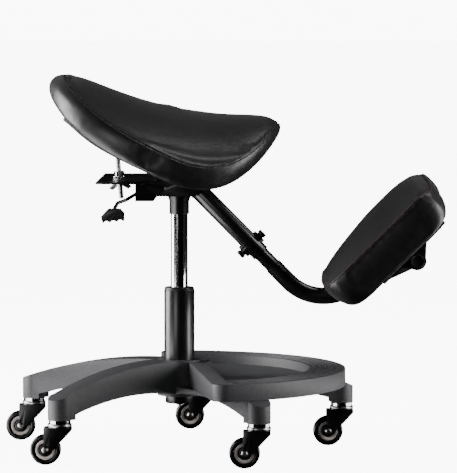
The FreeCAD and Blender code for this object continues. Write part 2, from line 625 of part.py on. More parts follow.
weld_plate = sculpted(Part.makeBox(
    s.housing_sheet, 2 * (s.housing_half_width - s.housing_sheet), 2.2 * s.outer_tube_radius,
    Vector(-s.housing_sheet, -(s.housing_half_width - s.housing_sheet), -s.outer_tube_radius)))
weld_plate.Placement = arm_frame
housing = fuse(cut(fuse(outer, ear), trough), weld_plate)
housing = cut(housing, pin_bore, lift_bore, lever_slot, lever_bore)
piece("mechanism_housing", housing)

slot_half = "plate_slot_length / 2 - plate_slot_half"
slot_middle = "(adjuster_x - (plate_level - adjuster_z) * tan(adjuster_lean))"
slot = fuse(box(f"2 * ({slot_half})", "2 * plate_slot_half", "3 * plate_sheet",
                (f"{slot_middle} - ({slot_half})", "-plate_slot_half", "plate_level - plate_sheet")),
            cylinder("plate_slot_half", "3 * plate_sheet", (f"{slot_middle} - ({slot_half})", 0,
                                                            "plate_level - plate_sheet")),
            cylinder("plate_slot_half", "3 * plate_sheet", (f"{slot_middle} + ({slot_half})", 0,
                                                            "plate_level - plate_sheet")))
tilt_plate = plate("XY_Plane", [
    ("plate_rear", "-plate_wide_half"), ("plate_wide_front", "-plate_wide_half"),
    ("plate_wide_front + 20", "-plate_neck_half"), ("plate_front", "-plate_neck_half"),
    ("plate_front", "plate_neck_half"), ("plate_wide_front + 20", "plate_neck_half"),
    ("plate_wide_front", "plate_wide_half"), ("plate_rear", "plate_wide_half")], "plate_sheet",
    midplane=False)
tilt_plate.Placement = Placement(Vector(0, 0, s.plate_level), Rotation())
pin_hole = cylinder("pin_hole_radius", "3 * plate_sheet", (0, 0, "plate_level - plate_sheet"))
piece("tilt_plate", cut(tilt_plate, slot, pin_hole))

pin_reach = "(housing_half_width + seat_gap + pan_sheet + seat_gap)"
piece("seat_hinge_pin", fuse(
    cylinder("hinge_pin_radius", f"2 * {pin_reach}", ("hinge_x", f"-{pin_reach}", "hinge_z"), "y"),
    cylinder("hinge_pin_head", "3", ("hinge_x", pin_reach, "hinge_z"), "y"),
    cylinder("hinge_pin_head", "3", ("hinge_x", f"-{pin_reach} - 3", "hinge_z"), "y")))
piece("lever_pin",
      cylinder("lever_pin_radius", wide, ("lever_pivot_x", "-housing_half_width", "lever_pivot_z"), "y"))


# Lift lever: bent wire on an eye, and a finger grip.

grip_end = Vector(s.grip_x, s.grip_y, s.grip_z)
lever_points = [(s.lever_nose, 0, s.lever_pivot_z), (s.lever_pivot_x - 9, 0, s.lever_pivot_z),
                (s.housing_rear + 8, s.wire_out_y, s.lever_pivot_z - 5),
                (s.wire_bend_x, s.wire_bend_y, s.wire_bend_z), (s.wire_turn_x, s.wire_turn_y, s.wire_turn_z),
                tuple(grip_end)]
wire = swept(routed(lever_points, s.wire_round), s.lever_wire_radius)
eye = Part.makeCylinder(s.lever_eye_radius, 2 * s.lever_eye_half,
                        Vector(s.lever_pivot_x, -s.lever_eye_half, s.lever_pivot_z), Y)
eye_bore = Part.makeCylinder(s.lever_pin_radius + s.running_gap, 2 * s.lever_eye_half,
                             Vector(s.lever_pivot_x, -s.lever_eye_half, s.lever_pivot_z), Y)
piece("lever_wire", sculpted(wire.fuse(eye).cut(eye_bore).removeSplitter()))


def lever_paddle():
    """A wedge-sided grip with three finger grooves below; the wire runs into its top."""
    length, height, depth = s.paddle_length, s.paddle_height, s.paddle_thickness
    face = Part.makePolygon([Vector(-0.58 * length, 0, -0.55 * height), Vector(-0.27 * length, 0, 0),
                             Vector(0.25 * length, 0, 0), Vector(0.42 * length, 0, -0.3 * height),
                             Vector(0.42 * length, 0, -0.85 * height), Vector(-0.5 * length, 0, -height),
                             Vector(-0.58 * length, 0, -0.55 * height)])
    solid = Part.Face(face).extrude(Vector(0, depth, 0))
    for number in range(3):
        groove = Part.makeCylinder(s.paddle_groove, depth, Vector(
            (-0.33 + 0.29 * number) * length, 0, -1.07 * height + 0.05 * number * height), Y)
        solid = solid.cut(groove)
    solid.translate(grip_end + Vector(0, -depth / 2, 0))
    hole = Part.makeCylinder(s.lever_wire_radius, 30, grip_end - Vector(0, 0, 1), Vector(0, 0, 1))
    return solid.cut(hole)


piece("lever_paddle", sculpted(lever_paddle().cut(wire)))


# Seat: the saddle's plan is a superellipse; its crown dips in the middle and falls away to the sides.

def saddle_station(share):
    """Sizes of the saddle at a share of its half length: place, half width, crown, seam drop and band."""
    half_length = (s.seat_front - s.seat_rear) / 2
    x = (s.seat_front + s.seat_rear) / 2 + share * half_length
    width = s.seat_half_width * (1 - abs(share) ** 2.5) ** 0.4
    if x < s.saddle_low_x:
        crown = s.saddle_low + s.saddle_rear_rise * ((x - s.saddle_low_x) / s.saddle_rear_peak) ** 2
    else:
        crown = s.saddle_low + s.saddle_front_rise * ((x - s.saddle_low_x) / s.saddle_front_peak) ** 2
    fall = (0.0019 + 0.0013 * share + 0.0011 * share ** 2) * width ** 2
    ending = 10 if share < 0 else 8
    band = s.seat_band * (1 - abs(share) ** ending) ** 0.5
    nose = 1 - (band / s.seat_band)
    return x, width, crown - s.seat_band * nose, fall, band


def pad_section(x, width, top, edge, bottom_edge, bottom, bulge, draw):
    """A closed section across a pad: crown, two side walls and arched underside."""
    corners = [Vector(x, -width, edge), Vector(x, width, edge), Vector(x, width - draw, bottom_edge),
               Vector(x, -(width - draw), bottom_edge)]
    middle = (edge + bottom_edge) / 2
    arcs = [Part.Arc(corners[0], Vector(x, 0, top), corners[1]),
            Part.Arc(corners[1], Vector(x, width - draw / 2 + bulge, middle), corners[2]),
            Part.Arc(corners[2], Vector(x, 0, bottom), corners[3]),
            Part.Arc(corners[3], Vector(x, -(width - draw / 2 + bulge), middle), corners[0])]
    return Part.Wire([arc.toShape() for arc in arcs])


def saddle_cushion():
    sections = []
    for share in (-0.995, -0.97, -0.9, -0.76, -0.55, -0.3, -0.05, 0.2, 0.42, 0.62, 0.78, 0.9, 0.97, 0.995):
        x, width, crown, fall, band = saddle_station(share)
        small = band / s.seat_band
        seam = crown - fall
        bottom = crown - band - s.seat_centre_extra * small
        sections.append(pad_section(x, width, crown, seam, seam - band, bottom, s.seat_band_bulge * small,
                                    s.seat_band_draw * small))
    return Part.makeLoft(sections, True, False)


def shell_section(x, width, middle, edge, thickness):
    """A closed section across an arched board."""
    corners = [Vector(x, -width, edge), Vector(x, width, edge), Vector(x, width, edge - thickness),
               Vector(x, -width, edge - thickness)]
    return Part.Wire([Part.Arc(corners[0], Vector(x, 0, middle), corners[1]).toShape(),
                      Part.LineSegment(corners[1], corners[2]).toShape(),
                      Part.Arc(corners[2], Vector(x, 0, middle - thickness), corners[3]).toShape(),
                      Part.LineSegment(corners[3], corners[0]).toShape()])


def arch_height(width, middle, edge, y):
    """Height at y of the arc that spans the width."""
    rise = middle - edge
    radius = (width ** 2 + rise ** 2) / (2 * rise)
    return middle - radius + math.sqrt(radius ** 2 - y ** 2)


def saddle_shell():
    sections = []
    for share in (-0.78, -0.55, -0.3, -0.05, 0.2, 0.42, 0.6, 0.74):
        x, width, crown, fall, band = saddle_station(share)
        small = band / s.seat_band
        under_middle = crown - band - s.seat_centre_extra * small - s.soft_gap
        under_edge = crown - fall - band - s.soft_gap
        outer_width = width - s.seat_band_draw * small
        narrow = outer_width - s.shell_inset
        edge = arch_height(outer_width, under_middle, under_edge, narrow)
        sections.append(shell_section(x, narrow, under_middle, edge, s.shell_thickness))
    board = Part.makeLoft(sections, True, False)
    top = s.pan_level + s.pan_sheet
    for x in (s.pan_bolt_rear, s.pan_bolt_front):
        for y in (-s.pan_bolt_half, s.pan_bolt_half):
            boss = Part.makeCylinder(s.pan_boss_radius, s.saddle_low - s.seat_band - top, Vector(x, y, top))
            board = board.fuse(boss)
    for x in (s.pan_bolt_rear, s.pan_bolt_front):
        for y in (-s.pan_bolt_half, s.pan_bolt_half):
            board = board.cut(Part.makeCylinder(s.pan_bolt_radius, 12, Vector(x, y, top)))
    return board.removeSplitter()


saddle = saddle_cushion()
board = saddle_shell()
piece("seat_cushion", sculpted(saddle), seat_frame)
piece("seat_shell", sculpted(board.cut(saddle) if board.common(saddle).Volume > 1 else board), seat_frame)

lug_inner = "(adjuster_eye_half + seat_gap)"
hinge_local = seat_frame.inverse().multVec(Vector(s.hinge_x, 0, s.hinge_z))
adjuster_local = seat_frame.inverse().multVec(Vector(s.adjuster_x, 0, s.adjuster_z))


def seat_pan():
    """Pressed steel pan: a flat plate with folded edges and ears down to the hinge pin."""
    top = s.pan_level
    half = s.pan_half_width
    flat = Part.makeBox(s.pan_front - s.pan_rear, 2 * half, s.pan_sheet, Vector(s.pan_rear, -half, top))
    inner = s.housing_half_width + s.seat_gap
    ears = []
    for side in (inner, -inner - s.pan_sheet):
        tongue = Part.makePolygon([
            Vector(hinge_local.x - 2.2 * s.hinge_ear_radius, side, top), Vector(s.pan_front, side, top),
            Vector(hinge_local.x + s.hinge_ear_radius, side, hinge_local.z),
            Vector(hinge_local.x - s.hinge_ear_radius, side, hinge_local.z),
            Vector(hinge_local.x - 2.2 * s.hinge_ear_radius, side, top)])
        ears.append(Part.Face(tongue).extrude(Vector(0, s.pan_sheet, 0)))
        ears.append(Part.makeCylinder(s.hinge_ear_radius, s.pan_sheet,
                                      Vector(hinge_local.x, side, hinge_local.z), Y))
    solid = flat.multiFuse(ears)
    holes = [Part.makeCylinder(s.hinge_pin_radius + s.running_gap, 4 * half,
                               Vector(hinge_local.x, -2 * half, hinge_local.z), Y)]
    for x in (s.pan_bolt_rear, s.pan_bolt_front):
        for y in (-s.pan_bolt_half, s.pan_bolt_half):
            holes.append(Part.makeCylinder(s.pan_bolt_radius, 3 * s.pan_sheet,
                                           Vector(x, y, top - s.pan_sheet)))
    for hole in holes:
        solid = solid.cut(hole)
    return solid.removeSplitter()


def adjuster_lug():
    """Clevis under the pan that holds the tilt rod's eye."""
    inner = s.adjuster_eye_half + s.seat_gap
    sheet = s.adjuster_lug_sheet
    top = s.pan_level
    base = Part.makeBox(26, 2 * (inner + sheet), sheet,
                        Vector(adjuster_local.x - 13, -inner - sheet, top - sheet))
    cheeks = []
    for side in (inner, -inner - sheet):
        cheeks.append(Part.makeBox(2 * s.adjuster_eye, sheet, top - adjuster_local.z,
                                   Vector(adjuster_local.x - s.adjuster_eye, side, adjuster_local.z)))
        cheeks.append(Part.makeCylinder(s.adjuster_eye, sheet,
                                        Vector(adjuster_local.x, side, adjuster_local.z), Y))
    pin = Part.makeCylinder(s.adjuster_pin_radius, 2 * (inner + sheet + 2),
                            Vector(adjuster_local.x, -inner - sheet - 2, adjuster_local.z), Y)
    return base.multiFuse(cheeks + [pin]).removeSplitter()


piece("seat_pan", sculpted(seat_pan()), seat_frame)
piece("adjuster_lug", sculpted(adjuster_lug()), seat_frame)


def bolt_group(places, radius, head_radius, head_height, under, length):
    """Cap screws with hexagon heads, heads below the level given, shanks up."""
    bolts = []
    for x, y in places:
        head = hexagon(head_radius, head_height)
        head.translate(Vector(x, y, under - head_height))
        bolts.append(head.fuse(Part.makeCylinder(radius, length, Vector(x, y, under))).removeSplitter())
    return Part.makeCompound(bolts)


def hexagon(radius, height):
    corners = [Vector(radius * math.cos(math.radians(60 * i)), radius * math.sin(math.radians(60 * i)), 0)
               for i in range(7)]
    return Part.Face(Part.makePolygon(corners)).extrude(Vector(0, 0, height))


pan_places = [(x, y) for x in (s.pan_bolt_rear, s.pan_bolt_front)
              for y in (-s.pan_bolt_half, s.pan_bolt_half)]
piece("seat_bolts",
      sculpted(bolt_group(pan_places, s.pan_bolt_radius, s.pan_bolt_head, s.pan_bolt_head_height,
                                        s.pan_level, 14)), seat_frame)


# Tilt adjuster: rod hanging from the pan, nut above the plate, wing nut below. Local Z runs along the rod.

def tilt_rod():
    eye = Part.makeCylinder(s.adjuster_eye, 2 * s.adjuster_eye_half, Vector(0, -s.adjuster_eye_half, 0), Y)
    rod = Part.makeCylinder(s.adjuster_radius, s.adjuster_length, Vector(0, 0, -s.adjuster_length))
    bore = Part.makeCylinder(s.adjuster_pin_radius + s.running_gap, 4 * s.adjuster_eye_half,
                             Vector(0, -2 * s.adjuster_eye_half, 0), Y)
    return eye.fuse(rod).cut(bore).removeSplitter()


lean = math.cos(math.radians(s.adjuster_lean))
plate_above = (s.plate_level + s.plate_sheet - s.adjuster_z) / lean + s.nut_lift
plate_below = (s.plate_level - s.adjuster_z) / lean - s.nut_lift
piece("tilt_rod", sculpted(tilt_rod()), adjuster_frame)
rod_hole = Part.makeCylinder(s.adjuster_radius + s.running_gap, 200, Vector(0, 0, -150))
washer = Part.makeCylinder(s.tilt_washer_radius, s.tilt_washer_height, Vector(0, 0, plate_above))
nut = hexagon(s.tilt_nut_radius, s.tilt_nut_height)
nut.translate(Vector(0, 0, plate_above + s.tilt_washer_height))
piece("tilt_nut", sculpted(washer.fuse(nut).cut(rod_hole)), adjuster_frame)


def wing_nut():
    hub = Part.makeCone(s.wing_hub_radius * 0.8, s.wing_hub_radius, s.wing_hub_height,
                        Vector(0, 0, plate_below - s.wing_hub_height))
    wings = []
    for side in (1, -1):
        face = Part.Face(Part.makePolygon([
            Vector(side * 2, -s.wing_sheet / 2, plate_below - 2),
            Vector(side * s.wing_hub_radius, -s.wing_sheet / 2, plate_below - 1),
            Vector(side * s.wing_reach, -s.wing_sheet / 2, plate_below - 0.75 * s.wing_drop),
            Vector(side * (s.wing_reach - 6), -s.wing_sheet / 2, plate_below - s.wing_drop),
            Vector(side * 2, -s.wing_sheet / 2, plate_below - s.wing_hub_height + 1),
            Vector(side * 2, -s.wing_sheet / 2, plate_below - 2)]))
        wings.append(face.extrude(Vector(0, s.wing_sheet, 0)))
    return hub.multiFuse(wings).cut(rod_hole).removeSplitter()


piece("wing_nut", sculpted(wing_nut()), adjuster_frame)


# Knee arm. Local X runs down the arm's axis.

reach = "outer_tube_length"
outer_tube = cylinder("outer_tube_radius", reach, (0, 0, 0), "x")
outer_bore = cylinder("inner_tube_radius + running_gap", reach, (0, 0, 0), "x")
boss_height = "(outer_tube_radius + clamp_boss_height)"
bosses = cylinder("clamp_boss_radius", f"2 * {boss_height}", ("clamp_station", 0, f"-{boss_height}"))
bolt_bore = cylinder("clamp_bolt_radius", f"2 * {boss_height}", ("clamp_station", 0, f"-{boss_height}"))
piece("arm_tube", cut(fuse(outer_tube, bosses), outer_bore, bolt_bore), arm_frame)

seam = "bent_tube_start"
piece("inner_tube", cut(cylinder("inner_tube_radius", f"{seam} + bent_tube_overlap - inner_tube_start",
                                 ("inner_tube_start", 0, 0), "x"),
                        cylinder("inner_tube_radius - inner_tube_wall",
                                 f"{seam} + bent_tube_overlap - inner_tube_start",
                                 ("inner_tube_start", 0, 0), "x")),
      arm_frame)


def clamp_bolt(side):
    """Hexagon bolt that presses on the inner tube from one side."""
    tip = s.inner_tube_radius + s.soft_gap
    top = s.outer_tube_radius + s.clamp_boss_height + s.clamp_head_lift
    shank = Part.makeCylinder(s.clamp_bolt_radius - s.running_gap, top - tip, Vector(0, 0, tip))
    head = hexagon(s.clamp_head_radius, s.clamp_head_height)
    head.translate(Vector(0, 0, top))
    collar = Part.makeCylinder(s.clamp_head_radius * 0.8, 2, Vector(0, 0, top - 2))
    bolt = shank.multiFuse([head, collar]).removeSplitter()
    if side < 0:
        bolt.rotate(Vector(), X, 180)
    bolt.translate(Vector(s.clamp_station, 0, 0))
    return bolt


piece("clamp_bolt_upper", sculpted(clamp_bolt(1)), arm_frame)
piece("clamp_bolt_lower", sculpted(clamp_bolt(-1)), arm_frame)


def bent_route():
    """Corner points of the bent tube: down the arm's axis, then up to the pivot barrel."""
    down = Vector(math.cos(math.radians(s.knee_arm_slope)), 0, -math.sin(math.radians(s.knee_arm_slope)))
    up = Vector(math.cos(math.radians(s.knee_tube_rise)), 0, math.sin(math.radians(s.knee_tube_rise)))
    root = Vector(s.knee_arm_x, 0, s.knee_arm_z)
    aim = Vector(s.knee_tube_aim_x, 0, s.knee_tube_aim_z)
    gap = aim - root
    along = (gap.x * up.z - gap.z * up.x) / (down.x * up.z - down.z * up.x)
    return [root + down * s.bent_tube_start, root + down * along, aim]


route = routed(bent_route(), s.bend_radius)
barrel = Part.makeCylinder(s.barrel_radius, 2 * s.barrel_half,
                           Vector(s.pivot_x, -s.barrel_half, s.pivot_z), Y)
barrel_bore = Part.makeCylinder(s.pivot_bolt_radius + s.running_gap, 2 * s.barrel_half,
                                Vector(s.pivot_x, -s.barrel_half, s.pivot_z), Y)
spigot = Part.makeCylinder(s.inner_tube_radius, s.bent_tube_overlap, bent_route()[0],
                           Vector(math.cos(math.radians(s.knee_arm_slope)), 0,
                                  -math.sin(math.radians(s.knee_arm_slope))))
piece("bent_tube", sculpted(swept(route, s.bent_tube_radius).cut(spigot).cut(barrel)))
piece("pivot_barrel", sculpted(barrel.cut(barrel_bore)))


# Knee pad: the same arched build as the seat. Local X runs up the pad, local Z out of its face.

pivot_local = knee_frame.inverse().multVec(Vector(s.pivot_x, 0, s.pivot_z))


def knee_station(share):
    """Sizes of the pad at a share of its half length: place, width, crown, seam, band foot and underside."""
    half_length = (s.knee_high - s.knee_low) / 2
    x = (s.knee_high + s.knee_low) / 2 + share * half_length
    width = s.knee_half_width * (1 - abs(share) ** 7) ** (1 / 7)
    across = (width / s.knee_half_width) ** 2
    middle = s.knee_crown - s.knee_crown_fall * ((x - s.knee_crown_at) / 130) ** 2
    if share < 0:
        drop = s.knee_low_round * (1 - (1 - share ** 12) ** 0.5)
    else:
        drop = s.knee_high_round * (1 - (1 - share ** 8) ** 0.5)
    rise = s.knee_band / 4 * (1 - (1 - share ** 16) ** 0.5)
    under_edge = s.knee_edge - s.knee_band + s.knee_arch * (1 - across) + rise
    relief = s.knee_relief * max(0, (s.knee_relief_reach - x) / s.knee_relief_reach)
    under = s.knee_edge - s.knee_band + s.knee_arch + rise + relief
    edge = middle - (middle - s.knee_edge) * across - drop
    return x, width, middle - drop, edge, under_edge, under


def knee_cushion():
    sections = []
    for share in (-0.975, -0.95, -0.9, -0.8, -0.6, -0.3, 0.0, 0.3, 0.6, 0.8, 0.9, 0.95, 0.975):
        x, width, crown, edge, under_edge, under = knee_station(share)
        sections.append(pad_section(x, width, crown, edge, under_edge, under, s.knee_band_bulge,
                                    s.knee_band_draw))
    return Part.makeLoft(sections, True, False)


def knee_board():
    half_length = (s.knee_high - s.knee_low) / 2
    centre = (s.knee_high + s.knee_low) / 2
    sections = []
    for step in range(6):
        x = s.knee_shell_low + (s.knee_shell_high - s.knee_shell_low) * step / 5
        x, width, crown, edge, under_edge, under = knee_station((x - centre) / half_length)
        outer_width = width - s.knee_band_draw
        narrow = outer_width - s.knee_shell_inset
        side = arch_height(outer_width, under - s.soft_gap, under_edge - s.soft_gap, narrow)
        sections.append(shell_section(x, narrow, under - s.soft_gap, side, s.knee_board_thickness))
    board = Part.makeLoft(sections, True, False)
    top = s.bracket_level + s.bracket_sheet
    for x, y in knee_places:
        board = board.fuse(Part.makeCylinder(s.pan_boss_radius,
                                             1 - top + s.knee_edge - s.knee_band + s.knee_arch - 4,
                                             Vector(x, y, top)))
    for x, y in knee_places:
        board = board.cut(Part.makeCylinder(s.pan_bolt_radius, 8, Vector(x, y, top)))
    return board.removeSplitter()


knee_places = [(x, y) for x in (s.knee_bolt_low, s.knee_bolt_high)
               for y in (-s.knee_bolt_half, s.knee_bolt_half)]
knee = knee_cushion()
knee_base = knee_board()
piece("knee_cushion", sculpted(knee), knee_frame)
piece("knee_shell", sculpted(knee_base.cut(knee) if knee_base.common(knee).Volume > 1 else knee_base),
      knee_frame)


def knee_bracket():
    """Steel plate under the shell with two ears that straddle the barrel."""
    level = s.bracket_level
    half = s.barrel_half + s.seat_gap + s.bracket_sheet
    flat = Part.makeBox(s.bracket_high - s.bracket_low, 2 * half, s.bracket_sheet,
                        Vector(s.bracket_low, -half, level))
    ears = []
    for side in (s.barrel_half + s.seat_gap, -half):
        tongue = Part.makePolygon([
            Vector(s.bracket_low, side, level), Vector(s.bracket_high, side, level),
            Vector(pivot_local.x + s.bracket_ear_radius * 0.9, side,
                   pivot_local.z - s.bracket_ear_radius * 0.43),
            Vector(pivot_local.x - s.bracket_ear_radius * 0.7, side,
                   pivot_local.z - s.bracket_ear_radius * 0.71),
            Vector(s.bracket_low, side, level)])
        ears.append(Part.Face(tongue).extrude(Vector(0, s.bracket_sheet, 0)))
        ears.append(Part.makeCylinder(s.bracket_ear_radius, s.bracket_sheet,
                                      Vector(pivot_local.x, side, pivot_local.z), Y))
    solid = flat.multiFuse(ears)
    solid = solid.cut(Part.makeCylinder(s.pivot_bolt_radius, 4 * half,
                                        Vector(pivot_local.x, -2 * half, pivot_local.z), Y))
    for x, y in knee_places:
        solid = solid.cut(Part.makeCylinder(s.pan_bolt_radius, 3 * s.bracket_sheet,
                                            Vector(x, y, level - s.bracket_sheet)))
    return solid.removeSplitter()


piece("knee_bracket", sculpted(knee_bracket()), knee_frame)
piece("knee_bolts",
      sculpted(bolt_group(knee_places, s.pan_bolt_radius, s.pan_bolt_head, s.pan_bolt_head_height,
                                        s.bracket_level, 12)), knee_frame)

outside = s.barrel_half + s.seat_gap + s.bracket_sheet
bolt_solid = Part.makeCylinder(s.pivot_bolt_radius, 2 * outside + s.knob_height * 0.6,
                               Vector(s.pivot_x, -outside - s.knob_height * 0.6, s.pivot_z), Y)
bolt_head = Part.makeCylinder(s.pivot_bolt_radius * 1.7, 5, Vector(s.pivot_x, outside, s.pivot_z), Y)
piece("pivot_bolt", sculpted(bolt_solid.fuse(bolt_head).removeSplitter()))


def pivot_knob():
    """Round locking knob with a raised rim, screwed on the near end of the bolt."""
    near = -outside - s.soft_gap
    body = Part.makeCylinder(s.knob_radius, s.knob_height, Vector(s.pivot_x, near, s.pivot_z), -Y)
    dish = Part.makeCylinder(s.knob_radius - 2.5, 1.5, Vector(s.pivot_x, near - s.knob_height, s.pivot_z), Y)
    thread = Part.makeCylinder(s.pivot_bolt_radius + s.running_gap, s.knob_height * 0.65,
                               Vector(s.pivot_x, near, s.pivot_z), -Y)
    return body.cut(dish).cut(thread)


piece("pivot_knob", sculpted(pivot_knob()))


# Every object is checked, then each sub-part is written under its own name.

doc.recompute()
for thing in doc.Objects:
    if "Invalid" in thing.State or "Error" in thing.State:
        raise RuntimeError(f"{thing.Label} did not recompute: {thing.State}")
for thing in pieces:
    if thing.Shape.isNull() or not thing.Shape.isValid() or not thing.Shape.Solids:
        raise RuntimeError(f"{thing.Label} is not a valid solid")
os.makedirs("parts", exist_ok=True)
for thing in pieces:
    thing.Shape.exportStep(f"parts/{thing.Label}.step")
    print(thing.Label, len(thing.Shape.Solids), round(thing.Shape.Volume))
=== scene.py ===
import json
import math

import bmesh
import bpy
import numpy as np
from bpy.props import FloatProperty, FloatVectorProperty, PointerProperty
from mathutils import Matrix, Vector, noise

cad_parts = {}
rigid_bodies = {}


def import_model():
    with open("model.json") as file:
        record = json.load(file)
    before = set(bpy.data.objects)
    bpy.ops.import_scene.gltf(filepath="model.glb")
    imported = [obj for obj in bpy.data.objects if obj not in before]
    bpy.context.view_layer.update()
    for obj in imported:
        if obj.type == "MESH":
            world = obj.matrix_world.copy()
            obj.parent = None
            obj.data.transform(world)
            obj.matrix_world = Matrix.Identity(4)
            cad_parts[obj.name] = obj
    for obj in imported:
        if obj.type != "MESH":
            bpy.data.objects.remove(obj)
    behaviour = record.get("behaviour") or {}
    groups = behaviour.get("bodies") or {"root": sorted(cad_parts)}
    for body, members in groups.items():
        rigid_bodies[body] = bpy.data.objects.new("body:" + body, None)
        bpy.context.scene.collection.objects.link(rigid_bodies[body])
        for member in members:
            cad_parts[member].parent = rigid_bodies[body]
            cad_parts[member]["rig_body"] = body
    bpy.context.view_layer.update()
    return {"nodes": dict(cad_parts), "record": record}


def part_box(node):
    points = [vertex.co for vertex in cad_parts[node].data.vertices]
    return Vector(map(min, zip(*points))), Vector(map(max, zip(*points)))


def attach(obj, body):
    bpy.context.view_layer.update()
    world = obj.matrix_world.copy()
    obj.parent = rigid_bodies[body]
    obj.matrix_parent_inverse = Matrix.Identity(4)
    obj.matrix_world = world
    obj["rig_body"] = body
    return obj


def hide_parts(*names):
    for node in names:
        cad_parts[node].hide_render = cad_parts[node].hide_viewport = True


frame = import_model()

bl_info = {
    "name": "Kneeling Chair",
    "version": (1, 0, 0),
    "blender": (4, 5, 0),
    "location": "View3D > Sidebar > Chair",
    "description": "Dresses a kneeling chair: leatherette cushions, casters, moulded base and steelwork",
    "category": "Object",
}

MM = 0.001
CASTERS = "abcde"
# brightness of the paper sweep, far above the object's so that it shows white, and of the world behind it
PAPER = 9.0
BACKDROP = PAPER * 1.1
# each softbox: name, place, aim, width, height, watts
SOFTBOXES = (
    ("left softbox", (-2.4, 0.3, 0.9), (0.0, 0, 0.35), 1.5, 2.2, 150),
    ("right softbox", (2.5, -0.5, 0.9), (0.1, 0, 0.3), 1.0, 2.0, 60),
    ("left floor bounce", (-1.0, -0.5, 0.02), (-0.9, -0.4, 1.0), 0.8, 1.3, 22),
    ("right floor bounce", (1.25, 0.1, 0.02), (1.2, 0.1, 1.0), 0.8, 1.3, 16),
    ("top right softbox", (0.95, 0.2, 2.0), (0.1, -0.05, 0.5), 0.35, 0.8, 7),
    ("front fill", (-1.6, -3.2, 0.7), (0.0, 0, 0.2), 1.2, 1.0, 16),
)
# half the floor's side, in metres
FLOOR_REACH = 30
# the camera that took the picture: place, turn to the left, pitch down, and lens for a 36 mm sensor
CAMERA_PLACE = (0.2430, -6.1958, 0.809)
CAMERA_TURN = math.radians(1.5)
CAMERA_PITCH = 0.0738
PICTURE_HEIGHT = 473
FOCAL_PIXELS = 3790
SENSOR = 36
# frames in which the CAD draws the saddle, the base with its tray, and the knee pad
SADDLE_FRAME = Matrix.Translation((0.034, 0, 0.437)) @ Matrix.Rotation(math.radians(13), 4, "Y")
BASE_FRAME = Matrix.Rotation(math.radians(11.7), 4, "Z")
KNEE_FRAME = Matrix.Translation((0.241, 0, 0.276)) @ Matrix.Rotation(math.radians(-45), 4, "Y")
# material of each CAD slot
SLOT_FINISH = {"nylon": "nylon", "black_steel": "powder", "chrome": "chrome", "zinc_steel": "zinc",
               "grip_plastic": "grip", "leatherette": "leatherette", "shell_board": "board",
               "rim_plastic": "rim", "tyre": "tread"}
# rigid pieces with eased edges: node, width of the bevel in millimetres, material
EASED_STEEL = (
    ("column_tube", 0.6, "powder"), ("column_guide", 0.6, "grip"), ("socket_tube", 0.5, "powder"),
    ("mechanism_housing", 0.8, "powder"), ("tilt_plate", 0.5, "powder"), ("arm_tube", 0.5, "powder"),
    ("inner_tube", 0.4, "powder"), ("clamp_bolt_upper", 0.5, "powder"), ("clamp_bolt_lower", 0.5, "powder"),
    ("tilt_nut", 0.5, "chrome"), ("wing_nut", 0.5, "zinc"), ("lever_paddle", 0.7, "grip"),
    ("knee_bracket", 0.6, "powder"), ("pivot_knob", 0.8, "grip"), ("seat_pan", 0.5, "powder"),
    ("adjuster_lug", 0.4, "powder"),
)
# easing of sharp edges: distance that welds points, and angles that count as flat, as an edge and as sharp
WELD = 0.01 * MM
FLAT_ANGLE = math.radians(1)
EDGE_ANGLE = math.radians(40)
SHARP_ANGLE = math.radians(32)
# the cover's cloth
CLOTH_FRAMES = 12
CLOTH_QUALITY = 5
CLOTH_STIFFNESS = 15
CLOTH_BENDING = 0.5


def srgb(code):
    """Turns an sRGB hex value such as 1b1b1d to a linear colour."""
    channels = [int(code[i:i + 2], 16) / 255 for i in (0, 2, 4)]
    return tuple(c / 12.92 if c <= 0.04045 else ((c + 0.055) / 1.055) ** 2.4 for c in channels)


def length(default, label, words):
    return FloatProperty(name=label, description=words, default=default * MM, unit="LENGTH",
                         subtype="DISTANCE")


def colour(code, label, words):
    return FloatVectorProperty(name=label, description=words, default=srgb(code), subtype="COLOR", size=3)


class SaddleShape(bpy.types.PropertyGroup):
    """Sizes of the saddle cushion, in the frame of its pan."""
    rear: length(-278, "Rear", "Where the cushion ends behind, from the hinge")
    front: length(109, "Front", "Where the cushion ends in front, from the hinge")
    half_width: length(185, "Half width", "Half of the widest part")
    low_at: length(-75, "Dip place", "Where the saddle dips lowest")
    low: length(115, "Dip height", "Height of the crown at the dip")
    rear_rise: length(18, "Rear rise", "Rise of the crown behind the dip")
    front_rise: length(22, "Front rise", "Rise of the crown in front of the dip")
    band: length(45, "Band", "Height of the side band")
    seam_rear: length(24, "Rear seam inset", "How far the seam lies in from the rear end")
    seam_front: length(7, "Front seam inset", "How far the seam lies in from the front end")


class KneeShape(bpy.types.PropertyGroup):
    """Sizes of the knee cushion, in the frame of its bracket."""
    low: length(-3, "Low end", "Where the pad ends below")
    high: length(239, "High end", "Where the pad ends above")
    half_width: length(190, "Half width", "Half of the pad's width")
    crown: length(35, "Crown", "Height of the crown over the seam's plane")
    band: length(58, "Band", "Height of the side band")
    arch: length(33, "Arch", "How far the pad arches up in its middle")


class TrayShape(bpy.types.PropertyGroup):
    """Sizes of the D-shaped foot tray, in the frame of the base."""
    radius: length(273, "Radius", "Radius of the rim")
    flat: length(10, "Straight side", "Distance of the straight side from the column's axis")
    corner: length(22, "Corner", "Radius of the two corners")
    bottom: length(108, "Bottom", "Height of the tray's lower edge")
    top: length(135, "Top", "Height of the rim")
    tread_first: length(223.1, "First tread", "Middle radius of the innermost tread")
    tread_pitch: length(9.5, "Tread pitch", "From one tread to the next")


